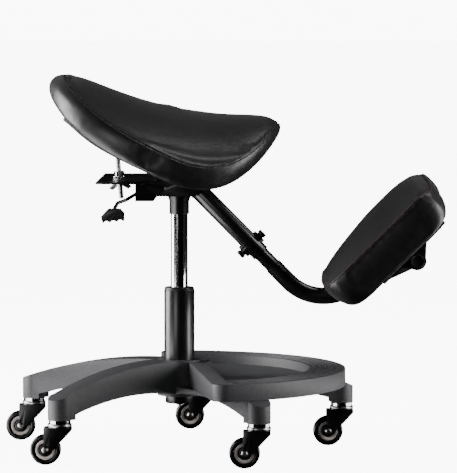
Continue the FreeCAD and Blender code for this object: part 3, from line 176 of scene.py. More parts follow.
class Sewing(bpy.types.PropertyGroup):
    """Seams and stitches."""
    stitch: length(3.4, "Stitch", "Length of one stitch")
    pitch: length(5.0, "Pitch", "From one stitch to the next")
    thread: length(0.55, "Thread", "Radius of the thread")
    rows: length(2.4, "Row offset", "Distance of each stitch row from the seam")
    groove: length(1.3, "Groove", "Depth of the seam's groove")
    pucker: length(0.35, "Pucker", "Height of the gathers along the seam")
    piping: length(1.2, "Piping", "Radius of the knee pad's piping")
    pressure: FloatProperty(name="Pressure", description="Pressure of the foam under the cover", default=3.0)
    swell: length(2.5, "Swell", "How far the foam may swell the cover")


class Finishes(bpy.types.PropertyGroup):
    """Colours of the chair's finishes."""
    leatherette: colour("19181a", "Leatherette", "Cover of the cushions")
    thread: colour("4a4748", "Thread", "Topstitching")
    piping: colour("3a2224", "Piping", "Piping round the knee pad")
    nylon: colour("4b4b4e", "Nylon", "Moulded base and tray")
    powder: colour("121213", "Powder coat", "Steel tubes and plates")
    zinc: colour("b9b9b6", "Zinc plate", "Screws, axles and nuts")
    rim: colour("eadfd8", "Wheel ring", "Cream ring of the wheels")
    hub: colour("2b1b18", "Wheel hub", "Dark hub of the wheels")
    tread: colour("0e0e0f", "Tread", "Wheel treads")


# Materials

# width of the leatherette's pebbles and of one turn of the thread, in millimetres
PEBBLE = 1.4
TWIST = 4
# waves per metre of the grinding marks across and along the rod
GRINDING = (40, 40, 900)


def new_material(name):
    material = bpy.data.materials.new(name)
    material.use_nodes = True
    tree = material.node_tree
    tree.nodes.clear()
    return material, tree


def add(tree, kind, settings=None, links=None):
    """Adds a node, sets its sockets and properties by name, and links its inputs to other nodes' outputs."""
    node = tree.nodes.new(kind)
    for name, value in (settings or {}).items():
        if name in node.inputs:
            node.inputs[name].default_value = value
        else:
            setattr(node, name, value)
    for name, (source, output) in (links or {}).items():
        tree.links.new(source.outputs[output], node.inputs[name])
    return node


def noise_of(tree, place, width, detail, roughness=0.5):
    """Noise whose features are this many millimetres wide."""
    settings = {"Scale": 1 / (width * MM), "Detail": detail, "Roughness": roughness}
    return add(tree, "ShaderNodeTexNoise", settings, {"Vector": (place, "Object")})


def relief(tree, source, output, strength, depth, under=None):
    """A bump this many millimetres deep, laid over another one."""
    links = {"Height": (source, output)}
    if under:
        links["Normal"] = (under, "Normal")
    return add(tree, "ShaderNodeBump", {"Strength": strength, "Distance": depth * MM}, links)


def surface(tree, settings, links=None):
    shader = add(tree, "ShaderNodeBsdfPrincipled", settings, links)
    add(tree, "ShaderNodeOutputMaterial", {}, {"Surface": (shader, "BSDF")})
    return shader


def ramp(tree, source, output, stops):
    node = add(tree, "ShaderNodeValToRGB", {}, {"Fac": (source, output)})
    marks = node.color_ramp.elements
    while len(marks) < len(stops):
        marks.new(0.5)
    for mark, (place, tone) in zip(marks, stops):
        mark.position = place
        mark.color = (*tone, 1) if isinstance(tone, tuple) else (tone, tone, tone, 1)
    return node


def shaded(tone, factor):
    return tuple(min(1, c * factor) for c in tone)


def leatherette(tone):
    """PVC leatherette, embossed on a roller: soft gloss, fine pebble grain and broad slack waves."""
    material, tree = new_material("PVC leatherette, embossed")
    place = add(tree, "ShaderNodeTexCoord")
    grain = add(tree, "ShaderNodeTexVoronoi",
                {"Scale": 1 / (PEBBLE * MM), "feature": "SMOOTH_F1", "Smoothness": 0.6},
                {"Vector": (place, "Object")})
    crease = noise_of(tree, place, 9, 5, 0.55)
    slack = noise_of(tree, place, 70, 2)
    fine = relief(tree, grain, "Distance", 0.28, 0.25)
    creased = relief(tree, crease, "Fac", 0.18, 0.6, fine)
    wavy = relief(tree, slack, "Fac", 0.35, 3, creased)
    gloss = ramp(tree, crease, "Fac", [(0.35, 0.33), (0.65, 0.43)])
    shade = ramp(tree, slack, "Fac", [(0.3, shaded(tone, 0.85)), (0.7, shaded(tone, 1.2))])
    surface(tree, {"IOR": 1.5, "Specular IOR Level": 0.55, "Sheen Weight": 0.08, "Sheen Roughness": 0.5,
                   "Coat Weight": 0.12, "Coat Roughness": 0.3},
            {"Base Color": (shade, "Color"), "Roughness": (gloss, "Color"), "Normal": (wavy, "Normal")})
    return material


def thread(tone):
    """Bonded polyester thread, twisted: dull, a little lighter than the cover."""
    material, tree = new_material("Polyester thread, twisted")
    place = add(tree, "ShaderNodeTexCoord")
    twist = add(tree, "ShaderNodeTexWave", {"Scale": 1 / (TWIST * MM), "Distortion": 1.0},
                {"Vector": (place, "Object")})
    lay = relief(tree, twist, "Fac", 0.4, 0.1)
    shade = ramp(tree, twist, "Fac", [(0.2, shaded(tone, 0.7)), (0.8, tone)])
    surface(tree, {"Roughness": 0.7, "IOR": 1.5},
            {"Base Color": (shade, "Color"), "Normal": (lay, "Normal")})
    return material


def moulded_nylon(tone):
    """Glass-filled nylon from a sand-blasted mould: matt grey-black with a fine grit and slight mottling."""
    material, tree = new_material("Glass-filled nylon, moulded")
    place = add(tree, "ShaderNodeTexCoord")
    # grit of about 0.5 mm is drawn at 1.5 mm so that it shows
    grit = noise_of(tree, place, 1.5, 3, 0.7)
    mottle = noise_of(tree, place, 35, 4)
    pits = relief(tree, grit, "Fac", 0.55, 0.35)
    speck = ramp(tree, grit, "Fac", [(0.38, shaded(tone, 0.72)), (0.62, shaded(tone, 1.28))])
    cloud = ramp(tree, mottle, "Fac", [(0.3, 0.86), (0.7, 1.0)])
    shade = add(tree, "ShaderNodeMix", {"data_type": "RGBA", "blend_type": "MULTIPLY", "Factor": 1.0})
    tree.links.new(speck.outputs["Color"], shade.inputs[6])
    tree.links.new(cloud.outputs["Color"], shade.inputs[7])
    gloss = ramp(tree, grit, "Fac", [(0.3, 0.46), (0.7, 0.6)])
    shader = surface(tree, {"IOR": 1.53, "Specular IOR Level": 0.5},
                     {"Roughness": (gloss, "Color"), "Normal": (pits, "Normal")})
    tree.links.new(shade.outputs[2], shader.inputs["Base Color"])
    return material


def powder_coat(tone):
    """Black polyester powder coat, baked on steel: satin, with a very fine orange peel."""
    material, tree = new_material("Polyester powder coat, baked")
    place = add(tree, "ShaderNodeTexCoord")
    peel = noise_of(tree, place, 2.2, 2)
    dust = noise_of(tree, place, 40, 5)
    skin = relief(tree, peel, "Fac", 0.12, 0.2)
    gloss = ramp(tree, dust, "Fac", [(0.3, 0.26), (0.7, 0.36)])
    shade = ramp(tree, dust, "Fac", [(0.3, shaded(tone, 0.9)), (0.7, shaded(tone, 1.15))])
    surface(tree, {"IOR": 1.5, "Coat Weight": 0.25, "Coat Roughness": 0.2},
            {"Base Color": (shade, "Color"), "Roughness": (gloss, "Color"), "Normal": (skin, "Normal")})
    return material


def chrome_plate():
    """Hard chrome, ground and polished: mirror bright, with faint grinding marks round the rod."""
    material, tree = new_material("Hard chrome, polished")
    place = add(tree, "ShaderNodeTexCoord")
    stretch = add(tree, "ShaderNodeMapping", {"Scale": GRINDING}, {"Vector": (place, "Object")})
    rings = add(tree, "ShaderNodeTexNoise", {"Scale": 1.0, "Detail": 3}, {"Vector": (stretch, "Vector")})
    gloss = ramp(tree, rings, "Fac", [(0.3, 0.07), (0.7, 0.14)])
    marks = relief(tree, rings, "Fac", 0.04, 0.05)
    surface(tree, {"Base Color": (*srgb("d9dadc"), 1), "Metallic": 1.0},
            {"Roughness": (gloss, "Color"), "Normal": (marks, "Normal")})
    return material


def zinc_plate(tone):
    """Zinc plate, passivated: pale grey, soft mirror with a dull bloom."""
    material, tree = new_material("Zinc plate, passivated")
    place = add(tree, "ShaderNodeTexCoord")
    bloom = noise_of(tree, place, 5, 4)
    gloss = ramp(tree, bloom, "Fac", [(0.3, 0.22), (0.7, 0.38)])
    shade = ramp(tree, bloom, "Fac", [(0.3, shaded(tone, 0.85)), (0.7, tone)])
    surface(tree, {"Metallic": 1.0}, {"Base Color": (shade, "Color"), "Roughness": (gloss, "Color")})
    return material


def moulded_plastic(name, tone, rough):
    """Moulded thermoplastic: an even tone, with the faint grain of the mould."""
    material, tree = new_material(name)
    place = add(tree, "ShaderNodeTexCoord")
    grain = noise_of(tree, place, 0.8, 3)
    skin = relief(tree, grain, "Fac", 0.15, 0.1)
    shade = ramp(tree, grain, "Fac", [(0.3, shaded(tone, 0.9)), (0.7, shaded(tone, 1.06))])
    gloss = ramp(tree, grain, "Fac", [(0.3, rough * 0.9), (0.7, rough * 1.1)])
    surface(tree, {"IOR": 1.5}, {"Base Color": (shade, "Color"), "Roughness": (gloss, "Color"),
                                 "Normal": (skin, "Normal")})
    return material


MADE = {}


def finish(name):
    """The chair's materials, each made once."""
    tones = bpy.context.scene.chair_finishes
    makers = {
        "leatherette": lambda: leatherette(tuple(tones.leatherette)),
        "thread": lambda: thread(tuple(tones.thread)),
        "piping": lambda: moulded_plastic("PVC piping, extruded", tuple(tones.piping), 0.38),
        "nylon": lambda: moulded_nylon(tuple(tones.nylon)),
        "powder": lambda: powder_coat(tuple(tones.powder)),
        "chrome": chrome_plate,
        "zinc": lambda: zinc_plate(tuple(tones.zinc)),
        "grip": lambda: moulded_plastic("ABS, textured", srgb("161617"), 0.42),
        "board": lambda: moulded_plastic("Polypropylene shell, moulded", srgb("1c1c1d"), 0.5),
        "rim": lambda: moulded_plastic("ABS ring, polished", tuple(tones.rim), 0.22),
        "hub": lambda: moulded_plastic("Acetal hub, moulded", tuple(tones.hub), 0.35),
        "tread": lambda: moulded_plastic("Polyurethane tread, cast", tuple(tones.tread), 0.24),
    }
    if name not in MADE:
        MADE[name] = makers[name]()
    return MADE[name]


# Mesh helpers

def piece(name, mesh, material, body, slot, replaces=()):
    """Puts a mesh in the scene as a piece that rides on a body."""
    item = bpy.data.objects.new(name, mesh)
    bpy.context.scene.collection.objects.link(item)
    mesh.materials.clear()
    mesh.materials.append(finish(material))
    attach(item, body)
    if replaces:
        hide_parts(*replaces)
    return item


def mesh_of(name, points, faces, smooth=True):
    mesh = bpy.data.meshes.new(name)
    mesh.from_pydata([tuple(p) for p in points], [], faces)
    if smooth:
        mesh.shade_smooth()
    return mesh


def grid(name, rings, closed=False, first=None, last=None):
    """Joins rings of equal count by quads; closed joins the last to the first, end points close the ends."""
    count = len(rings[0])
    points = [p for ring in rings for p in ring]
    faces = []
    for i in range(len(rings) if closed else len(rings) - 1):
        low, high = i * count, (i + 1) % len(rings) * count
        for j in range(count):
            k = (j + 1) % count
            faces.append((low + j, low + k, high + k, high + j))
    for end, start, turn in ((first, 0, -1), (last, (len(rings) - 1) * count, 1)):
        if end is not None:
            points.append(end)
            for j in range(count):
                corner = (start + j, start + (j + 1) % count, len(points) - 1)
                faces.append(corner[::turn])
    return mesh_of(name, points, faces)


def lathe(name, profile, place, steps=64):
    """Turns a closed profile of (radius, height) in millimetres about the Z axis of a placement."""
    rings = []
    for i in range(steps):
        turn = place @ Matrix.Rotation(math.tau * i / steps, 4, "Z")
        rings.append([turn @ Vector((r * MM, 0, z * MM)) for r, z in profile])
    return grid(name, rings, closed=True)


def tube(name, line, radius, sides=10):
    """A round cord along a closed line of (point, normal)."""
    rings = []
    for j, (spot, up) in enumerate(line):
        along = (line[(j + 1) % len(line)][0] - line[j - 1][0]).normalized()
        across = up.cross(along).normalized()
        up = along.cross(across)
        rings.append([spot + across * math.cos(math.tau * k / sides) * radius
                      + up * math.sin(math.tau * k / sides) * radius for k in range(sides)])
    return grid(name, rings, closed=True)


def eased(name, node, width, body, slot, material, segments=2):
    """A copy of a rigid piece with its sharp edges eased, as the real one's are."""
    mesh = frame["nodes"][node].data.copy()
    work = bmesh.new()
    work.from_mesh(mesh)
    bmesh.ops.remove_doubles(work, verts=work.verts, dist=WELD)
    bmesh.ops.dissolve_limit(work, angle_limit=FLAT_ANGLE, verts=work.verts, edges=work.edges)
    work.to_mesh(mesh)
    work.free()
    item = piece(name, mesh, material, body, slot, (node,))
    edge = item.modifiers.new("eased edges", "BEVEL")
    edge.width = width * MM
    edge.segments = segments
    edge.limit_method = "ANGLE"
    edge.angle_limit = EDGE_ANGLE
    edge.miter_outer = "MITER_ARC"
    bake(item)
    item.data.shade_smooth()
    item.data.set_sharp_from_angle(angle=SHARP_ANGLE)


def bake(item):
    """Applies a piece's modifiers to its mesh."""
    bpy.context.view_layer.update()
    made = bpy.data.meshes.new_from_object(item.evaluated_get(bpy.context.evaluated_depsgraph_get()))
    item.modifiers.clear()
    item.data = made


def read(mesh):
    flat = np.empty(len(mesh.vertices) * 3)
    mesh.vertices.foreach_get("co", flat)
    return flat.reshape(-1, 3)


def write(mesh, points):
    mesh.vertices.foreach_set("co", points.ravel())
    mesh.update()


def swell(item, held, pressure, limit):
    """Settles the cover over its foam as cloth held at the seams; no point moves further than the limit."""
    before = read(item.data)
    group = item.vertex_groups.new(name="held")
    for index, weight in enumerate(held):
        group.add([index], weight, "REPLACE")
    cloth = item.modifiers.new("cover", "CLOTH")
    settings = cloth.settings
    settings.vertex_group_mass = "held"
    settings.use_pressure = True
    settings.uniform_pressure_force = pressure
    settings.effector_weights.gravity = 0
    settings.quality = CLOTH_QUALITY
    settings.tension_stiffness = settings.compression_stiffness = CLOTH_STIFFNESS
    settings.bending_stiffness = CLOTH_BENDING
    cloth.collision_settings.use_collision = False
    for number in range(1, CLOTH_FRAMES + 1):
        bpy.context.scene.frame_set(number)
    bake(item)
    bpy.context.scene.frame_set(1)
    step = read(item.data) - before
    size = np.linalg.norm(step, axis=1, keepdims=True)
    write(item.data, before + step * np.minimum(1, limit / np.maximum(size, 1e-12)))
    item.vertex_groups.clear()


# Cushions

# saddle: power of its outline, and points round it
SADDLE_POWER = 2.5
SADDLE_POINTS = 288
# rear and front: power of the rounded end, and run of the rise
SADDLE_END_POWERS = (10, 8)
SADDLE_RISE_RUNS = (160 * MM, 141 * MM)
# fall to the sides per square metre: in the middle, and its linear and square change along the seat
SADDLE_FALL = (1.9, 1.3, 1.1)
SADDLE_REAR_ROLL = 6 * MM
SADDLE_FOOT_INSET = 7 * MM
SADDLE_UNDER_SAG = 8 * MM
# how far the band stands out, lengthwise and sideways
SADDLE_BULGE = (1 * MM, 4 * MM)
# knee pad: power of its outline, and points round it
KNEE_POWER = 7
KNEE_POINTS = 320
# lengthwise bow: place, run and depth
KNEE_BOW = (160 * MM, 130 * MM, 12 * MM)
# depth and power of the roll at the upper and the lower end
KNEE_UPPER_ROLL = (22 * MM, 8)
KNEE_LOWER_ROLL = (9 * MM, 12)
KNEE_SEAM_HEIGHT = 2 * MM
# insets of seam and foot, and how far the band stands out, lengthwise and sideways
KNEE_SEAM_INSET = (3 * MM, 2 * MM)
KNEE_FOOT_INSET = (6 * MM, 5 * MM)
KNEE_BULGE = (2 * MM, 3 * MM)
# underside: height and run of the relief at the low end, height and power of the lift at both ends
KNEE_RELIEF = (12 * MM, 45 * MM)
KNEE_FOOT_LIFT = (12 * MM, 14)
# shares of the band's height in which it turns in to the seam and to the foot
SEAM_TURN = 0.12
FOOT_TURN = 0.1
# slack folds of the two bands
SADDLE_WRINKLE = 0.8 * MM
KNEE_WRINKLE = 1.6 * MM
# seam: width of its groove, reach of its gathers, and how far the thread stands out as a share of its radius
GROOVE_WIDTH = 1.8 * MM
GATHER_REACH = 7 * MM
THREAD_RIDE = 0.35
# how far the piping stands up in the groove, as a share of the groove's depth
PIPING_RIDE = 0.6
# gathers and folds per metre, and the folds' place in the noise
GATHERS = 150
FOLDS = 70
FOLD_PLACE = Vector((9, 4, 2))
# rings on either side of the seam that the cloth step holds, and rings above it that the sewing shapes
HELD_RINGS = 3
SEWN_RINGS = 14


def loop(centre, half_x, half_y, power, angles):
    """Points on a superellipse at the given polar angles."""
    along, across = np.abs(np.cos(angles) / half_x), np.abs(np.sin(angles) / half_y)
    radius = (along ** power + across ** power) ** (-1 / power)
    return centre + radius * np.cos(angles), radius * np.sin(angles)


def spread(half_x, half_y, power, count):
    """Polar angles that part a superellipse in equal lengths."""
    fine = np.linspace(0, math.tau, 4001)
    x, y = loop(0, half_x, half_y, power, fine)
    run = np.concatenate([[0], np.cumsum(np.hypot(np.diff(x), np.diff(y)))])
    return np.interp(np.arange(count) / count * run[-1], run, fine)


def saddle_height(shape, x, y):
    """Height of the saddle's crown, and the band's share of its full height there."""
    half = (shape.front - shape.rear) / 2
    place = np.clip((x - (shape.front + shape.rear) / 2) / half, -1, 1)
    behind = x < shape.low_at
    rise = np.where(behind, shape.rear_rise, shape.front_rise)
    reach = np.where(behind, *SADDLE_RISE_RUNS)
    crown = shape.low + rise * ((x - shape.low_at) / reach) ** 2
    small = (1 - np.abs(place) ** np.where(behind, *SADDLE_END_POWERS)) ** 0.5
    level, slope, bow = SADDLE_FALL
    fall = (level + slope * place + bow * place ** 2) * y ** 2
    return crown - shape.band * (1 - small) - fall, small


def knee_height(shape, x, y):
    """Height of the knee pad's crown: arched across, and rolled over at its upper and lower ends."""
    across = np.minimum(1, np.abs(y) / shape.half_width) ** 2
    top_at, run, depth = KNEE_BOW
    middle = shape.crown - depth * ((x - top_at) / run) ** 2
    place = (x - (shape.high + shape.low) / 2) / ((shape.high - shape.low) / 2)
    upper, lower = (depth * np.abs(place) ** power for depth, power in (KNEE_UPPER_ROLL, KNEE_LOWER_ROLL))
    return middle - (middle - KNEE_SEAM_HEIGHT) * across - np.where(place > 0, upper, lower)


# rings of a cushion: share of the way from the crown's middle to the seam, down the band, and to the foot
CROWN_STEPS = (0.03, 0.1, 0.2, 0.3, 0.4, 0.5, 0.6, 0.7, 0.78, 0.85, 0.9, 0.935, 0.96, 0.976, 0.987, 0.994,
               1.0)
BAND_STEPS = (0.02, 0.045, 0.08, 0.13, 0.2, 0.3, 0.42, 0.55, 0.68, 0.78, 0.86, 0.92, 0.97, 1.0)
UNDER_STEPS = (0.985, 0.96, 0.9, 0.75, 0.5, 0.25, 0.05)


def stack(x, y, z):
    return np.stack([x, y, z], axis=1)


def band_rings(seam, foot, waist_x, waist_y):
    """Rings of the side band: a flat wall with a short roll at the seam and a rounder one at the foot."""
    height = seam[:, 2] - foot[:, 2]
    upper = stack(waist_x, waist_y, seam[:, 2] - SEAM_TURN * height)
    lower = stack(waist_x, waist_y, foot[:, 2] + FOOT_TURN * height)
    return [seam * (1 - part) ** 3 + upper * 3 * part * (1 - part) ** 2 + lower * 3 * part ** 2 * (1 - part)
            + foot * part ** 3 for part in BAND_STEPS]


def refine(points):
    """Halves the spacing of a grid of points by a cubic rule; closed round its rings, open across them."""
    around = (9 * (points + np.roll(points, -1, 1)) - np.roll(points, 1, 1) - np.roll(points, -2, 1)) / 16
    wide = np.stack([points, around], axis=2).reshape(len(points), -1, 3)
    held = np.concatenate([wide[:1] * 2 - wide[1:2], wide, wide[-1:] * 2 - wide[-2:-1]])
    between = (9 * (held[1:-2] + held[2:-1]) - held[:-3] - held[3:]) / 16
    finer = np.empty((2 * len(wide) - 1, wide.shape[1], 3))
    finer[::2], finer[1::2] = wide, between
    return finer


def outward(points):
    """Normals of a grid of points, away from the cushion's middle."""
    around = np.roll(points, -1, 1) - np.roll(points, 1, 1)
    down = np.gradient(points, axis=0)
    normals = np.cross(down, around)
    return normals / np.maximum(np.linalg.norm(normals, axis=2, keepdims=True), 1e-12)


def cushion(name, rings, to_world, sewing, body, node, wrinkle):
    """A closed cover from its crown rings, band and underside, with its seam drawn in.

    Returns three lines of (point, normal): a stitch row above the seam, the seam, and a row below it."""
    count = len(rings[0])
    seam_at = len(CROWN_STEPS) - 1
    foot_at = seam_at + len(BAND_STEPS)

    def shell(points):
        first, last = (Vector(ring.mean(axis=0)) for ring in (points[0], points[-1]))
        return grid(name, [[Vector(p) for p in ring] for ring in points], first=first, last=last)

    item = piece(name, shell(np.array(rings)), "leatherette", body, "leatherette", (node,))
    held = []
    for i in range(len(rings)):
        held += [1.0 if i >= foot_at else max(0.0, 1 - abs(i - seam_at) / HELD_RINGS)] * count
    swell(item, held + [0.0, 1.0], sewing.pressure, sewing.swell)
    points = refine(read(item.data)[:-2].reshape(len(rings), count, 3))
    normals = outward(points)
    seam_at, foot_at = 2 * seam_at, 2 * foot_at
    line = points[seam_at].copy()
    gather = np.array([noise.noise(Vector(p) * GATHERS) for p in line])
    fold = np.array([noise.noise(Vector(p) * FOLDS + FOLD_PLACE) for p in line])
    for i in range(seam_at - SEWN_RINGS, foot_at + 1):
        away = np.linalg.norm(points[i] - line, axis=1)
        depth = sewing.groove * np.exp(-(away / GROOVE_WIDTH) ** 2)
        lift = sewing.pucker * 2 * gather * np.exp(-away / GATHER_REACH)
        down = max(0.0, (i - seam_at) / (foot_at - seam_at))
        crease = wrinkle * fold * down ** 2 * (1 - down ** 6)
        points[i] += normals[i] * (lift - depth + crease)[:, None]
    item.data = shell(points)
    item.data.materials.append(finish("leatherette"))
    item.data.transform(to_world)
    turn = to_world.to_3x3()
    lines = []
    for side in (-1, 0, 1):
        row = []
        for j in range(points.shape[1]):
            i = seam_at
            while side and np.linalg.norm(points[i, j] - points[seam_at, j]) < sewing.rows:
                i += side
            spot = points[i, j]
            if side:
                near = points[i - side, j]
                start = np.linalg.norm(near - points[seam_at, j])
                part = (sewing.rows - start) / max(np.linalg.norm(spot - near), 1e-9)
                spot = near + (spot - near) * min(1, max(0, part))
            row.append((to_world @ Vector(spot), (turn @ Vector(normals[i, j])).normalized()))
        lines.append(row)
    return lines


def stitches(name, rows, sewing, body):
    """Short rounded stitches laid in rows along the seam."""
    seed = bmesh.new()
    bmesh.ops.create_icosphere(seed, subdivisions=1, radius=1)
    knot = [v.co.copy() for v in seed.verts]
    knot_faces = [[v.index for v in face.verts] for face in seed.faces]
    seed.free()
    points, faces = [], []
    for row in rows:
        marks = []
        total = 0.0
        for j, spot in enumerate(row):
            marks.append((total, spot))
            total += (row[(j + 1) % len(row)][0] - spot[0]).length
        marks.append((total, row[0]))
        number = int(total / sewing.pitch)
        spot = 0
        for i in range(number):
            at = (i + 0.5) * total / number
            while marks[spot + 1][0] < at:
                spot += 1
            (low, (a, na)), (high, (b, nb)) = marks[spot], marks[spot + 1]
            part = (at - low) / max(high - low, 1e-9)
            along = (b - a).normalized()
            across = na.lerp(nb, part).cross(along).normalized()
            up = along.cross(across)
            centre = a.lerp(b, part) + up * sewing.thread * THREAD_RIDE
            first = len(points)
            points += [centre + along * (k.x * sewing.stitch / 2) + (across * k.y + up * k.z) * sewing.thread
                       for k in knot]
            faces += [[first + n for n in face] for face in knot_faces]
    return piece(name, mesh_of(name, points, faces), "thread", body, "leatherette")


class CHAIR_OT_saddle(bpy.types.Operator):
    """Makes the saddle cushion with its seam and topstitching"""
    bl_idname = "chair.saddle"
    bl_label = "Saddle cushion"

    def execute(self, context):
        shape = context.scene.chair_saddle
        sewing = context.scene.chair_sewing
        centre = (shape.front + shape.rear) / 2
        half = (shape.front - shape.rear) / 2
        seam_centre = centre + (shape.seam_rear - shape.seam_front) / 2
        seam_half = half - (shape.seam_rear + shape.seam_front) / 2
        angles = spread(seam_half, shape.half_width, SADDLE_POWER, SADDLE_POINTS)
        # the crown's edge rolls down at the rear only
        rear = np.maximum(0, -np.cos(angles)) ** 4
        rings = []
        for factor in CROWN_STEPS:
            x, y = loop(seam_centre, seam_half, shape.half_width, SADDLE_POWER, angles)
            x, y = seam_centre + (x - seam_centre) * factor, y * factor
            z = saddle_height(shape, x, y)[0]
            rings.append(stack(x, y, z - SADDLE_REAR_ROLL * rear * factor ** 8))
        x, y = loop(centre, half - SADDLE_FOOT_INSET, shape.half_width - SADDLE_FOOT_INSET, SADDLE_POWER,
                    angles)
        z, small = saddle_height(shape, x, y)
        foot = stack(x, y, z - shape.band * small)
        waist = loop(centre, half + SADDLE_BULGE[0], shape.half_width + SADDLE_BULGE[1], SADDLE_POWER, angles)
        rings += band_rings(rings[-1], foot, *waist)
        for factor in UNDER_STEPS:
            x, y = centre + (foot[:, 0] - centre) * factor, foot[:, 1] * factor
            z, small = saddle_height(shape, x, y)
            rings.append(stack(x, y, z - (shape.band + SADDLE_UNDER_SAG * (1 - factor ** 2)) * small))
        rows = cushion("saddle_cover", rings, SADDLE_FRAME, sewing, "seat", "seat_cushion", SADDLE_WRINKLE)
        stitches("saddle_stitches", (rows[0], rows[2]), sewing, "seat")
        return {"FINISHED"}


class CHAIR_OT_knee_pad(bpy.types.Operator):
    """Makes the arched knee cushion with its piped seam and topstitching"""
    bl_idname = "chair.knee_pad"
    bl_label = "Knee cushion"

    def execute(self, context):
        shape = context.scene.chair_knee
        sewing = context.scene.chair_sewing
        centre = (shape.high + shape.low) / 2
        half = (shape.high - shape.low) / 2
        angles = spread(half, shape.half_width, KNEE_POWER, KNEE_POINTS)
        rings = []
        inset, side_inset = KNEE_SEAM_INSET
        for factor in CROWN_STEPS:
            x, y = loop(0, half - inset, shape.half_width - side_inset, KNEE_POWER, angles)
            x, y = centre + x * factor, y * factor
            rings.append(stack(x, y, knee_height(shape, x, y)))

        def under(x, y):
            across = np.minimum(1, np.abs(y) / shape.half_width) ** 2
            rise, run = KNEE_RELIEF
            low_end = rise * np.maximum(0, 1 - x / run) * (1 - across)
            return KNEE_SEAM_HEIGHT - shape.band + shape.arch * (1 - across) + low_end

        inset, side_inset = KNEE_FOOT_INSET
        x, y = loop(centre, half - inset, shape.half_width - side_inset, KNEE_POWER, angles)
        lift, power = KNEE_FOOT_LIFT
        foot = stack(x, y, under(x, y) + lift * np.abs((x - centre) / half) ** power)
        waist = loop(centre, half + KNEE_BULGE[0], shape.half_width + KNEE_BULGE[1], KNEE_POWER, angles)
        rings += band_rings(rings[-1], foot, *waist)
        for factor in UNDER_STEPS:
            x, y = centre + (foot[:, 0] - centre) * factor, foot[:, 1] * factor
            rings.append(stack(x, y, under(x, y)))
        rows = cushion("knee_cover", rings, KNEE_FRAME, sewing, "knee_pad", "knee_cushion", KNEE_WRINKLE)
        stitches("knee_stitches", (rows[0], rows[2]), sewing, "knee_pad")
        piping = [(spot + up * sewing.groove * PIPING_RIDE, up) for spot, up in rows[1]]
        piece("knee_piping", tube("knee_piping", piping, sewing.piping), "piping", "knee_pad", "leatherette")
        return {"FINISHED"}


# Casters

# length of an axle's end that finds its direction
AXLE_END = 16 * MM
# half widths of tread and hub, in millimetres
TREAD_HALF = 9.3
HUB_HALF = 7.9
# profiles of (radius, half width), in millimetres; the tread's outer ones are insets from the tyre's radius
TREAD_INNER = ((16.6, 8.5), (18.6, TREAD_HALF))
TREAD_OUTER = ((3.2, TREAD_HALF), (1.7, TREAD_HALF - 0.7), (0.8, TREAD_HALF - 1.9), (0.2, TREAD_HALF - 3.6),
               (0, 2.0))
RING = ((10.9, HUB_HALF - 1.2), (11.6, HUB_HALF), (15.8, HUB_HALF), (16.5, HUB_HALF - 0.8))
HUB = ((4.2, HUB_HALF), (6.4, HUB_HALF), (7.2, HUB_HALF - 1.6), (10.2, HUB_HALF - 2.6),
       (10.95, HUB_HALF - 1.6))
# race ring of the swivel: (radius, height)
RACE = ((17.0, 0.6), (18.2, 0.0), (19.3, 0.9), (19.5, 3.0), (19.3, 5.1), (18.2, 6.0), (17.0, 5.4))
RACE_HEIGHT = 6 * MM


def axle_place(letter):
    """Where a wheel turns, with Z along its axle, from the axle's own mesh."""
    low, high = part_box("caster_axle_" + letter)
    centre = (low + high) / 2
    vertices = frame["nodes"]["caster_axle_" + letter].data.vertices
    far = max((v.co for v in vertices), key=lambda co: co.y)
    ends = [v.co for v in vertices if (v.co - far).length < AXLE_END]
    tip = sum(ends, Vector()) / len(ends)
    along = Vector((tip.x - centre.x, tip.y - centre.y, 0)).normalized()
    turn = along.to_track_quat("Z", "Y").to_matrix().to_4x4()
    turn.translation = centre
    return turn


class CHAIR_OT_casters(bpy.types.Operator):
    """Makes the five wheels with their treads, cream rings and hubs, and eases the forks"""
    bl_idname = "chair.casters"
    bl_label = "Casters"

    def execute(self, context):
        for letter in CASTERS:
            place = axle_place(letter)
            low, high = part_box("caster_tyre_" + letter)
            outer = (high.z - low.z) / 2 / MM
            tread = TREAD_INNER + tuple((outer - inset, width) for inset, width in TREAD_OUTER)
            wheel = "wheel_" + letter
            for name, sides, material, slot, node in (("tread_", tread, "tread", "tyre", "caster_tyre_"),
                                                      ("ring_", RING, "rim", "rim_plastic", "caster_rim_"),
                                                      ("hub_", HUB, "hub", "rim_plastic", None)):
                profile = list(sides) + [(r, -z) for r, z in reversed(sides)]
                replaced = [node + letter] if node else []
                piece(name + letter, lathe(name + letter, profile, place), material, wheel, slot, replaced)
            fork = "fork_" + letter
            eased("fork_shell_" + letter, "caster_fork_" + letter, 0.5, fork, "black_steel", "powder")
            eased("axle_bolt_" + letter, "caster_axle_" + letter, 0.9, fork, "zinc_steel", "zinc", 3)
            stem = self.stem(letter)
            stem.translation.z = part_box("caster_fork_" + letter)[1].z - RACE_HEIGHT
            piece("race_" + letter, lathe("race_" + letter, RACE, stem), "zinc", fork, "zinc_steel")
        return {"FINISHED"}

    def stem(self, letter):
        """Where a caster's stem stands: where its swivel joint turns."""
        joints = frame["record"]["behaviour"]["joints"]
        return Matrix.Translation(next(j["pos_m"] for j in joints if j["name"] == "caster_swivel_" + letter))


# Base and tray

TRAY_WALL = 4 * MM
CORNER_STEPS = 12
# rows of dashes, one from the next along a row, and their end before the straight side
DASH_ROWS = 4
DASH_PITCH = 9 * MM
DASH_END = 40 * MM
# levels of a dash in millimetres: height over the rim, half width, half length
DASH_LEVELS = ((-0.3, 1.1, 3.0), (0.45, 0.9, 2.7), (0.8, 0.4, 2.2))
SQUARE = ((-1, -1), (1, -1), (1, 1), (-1, 1))


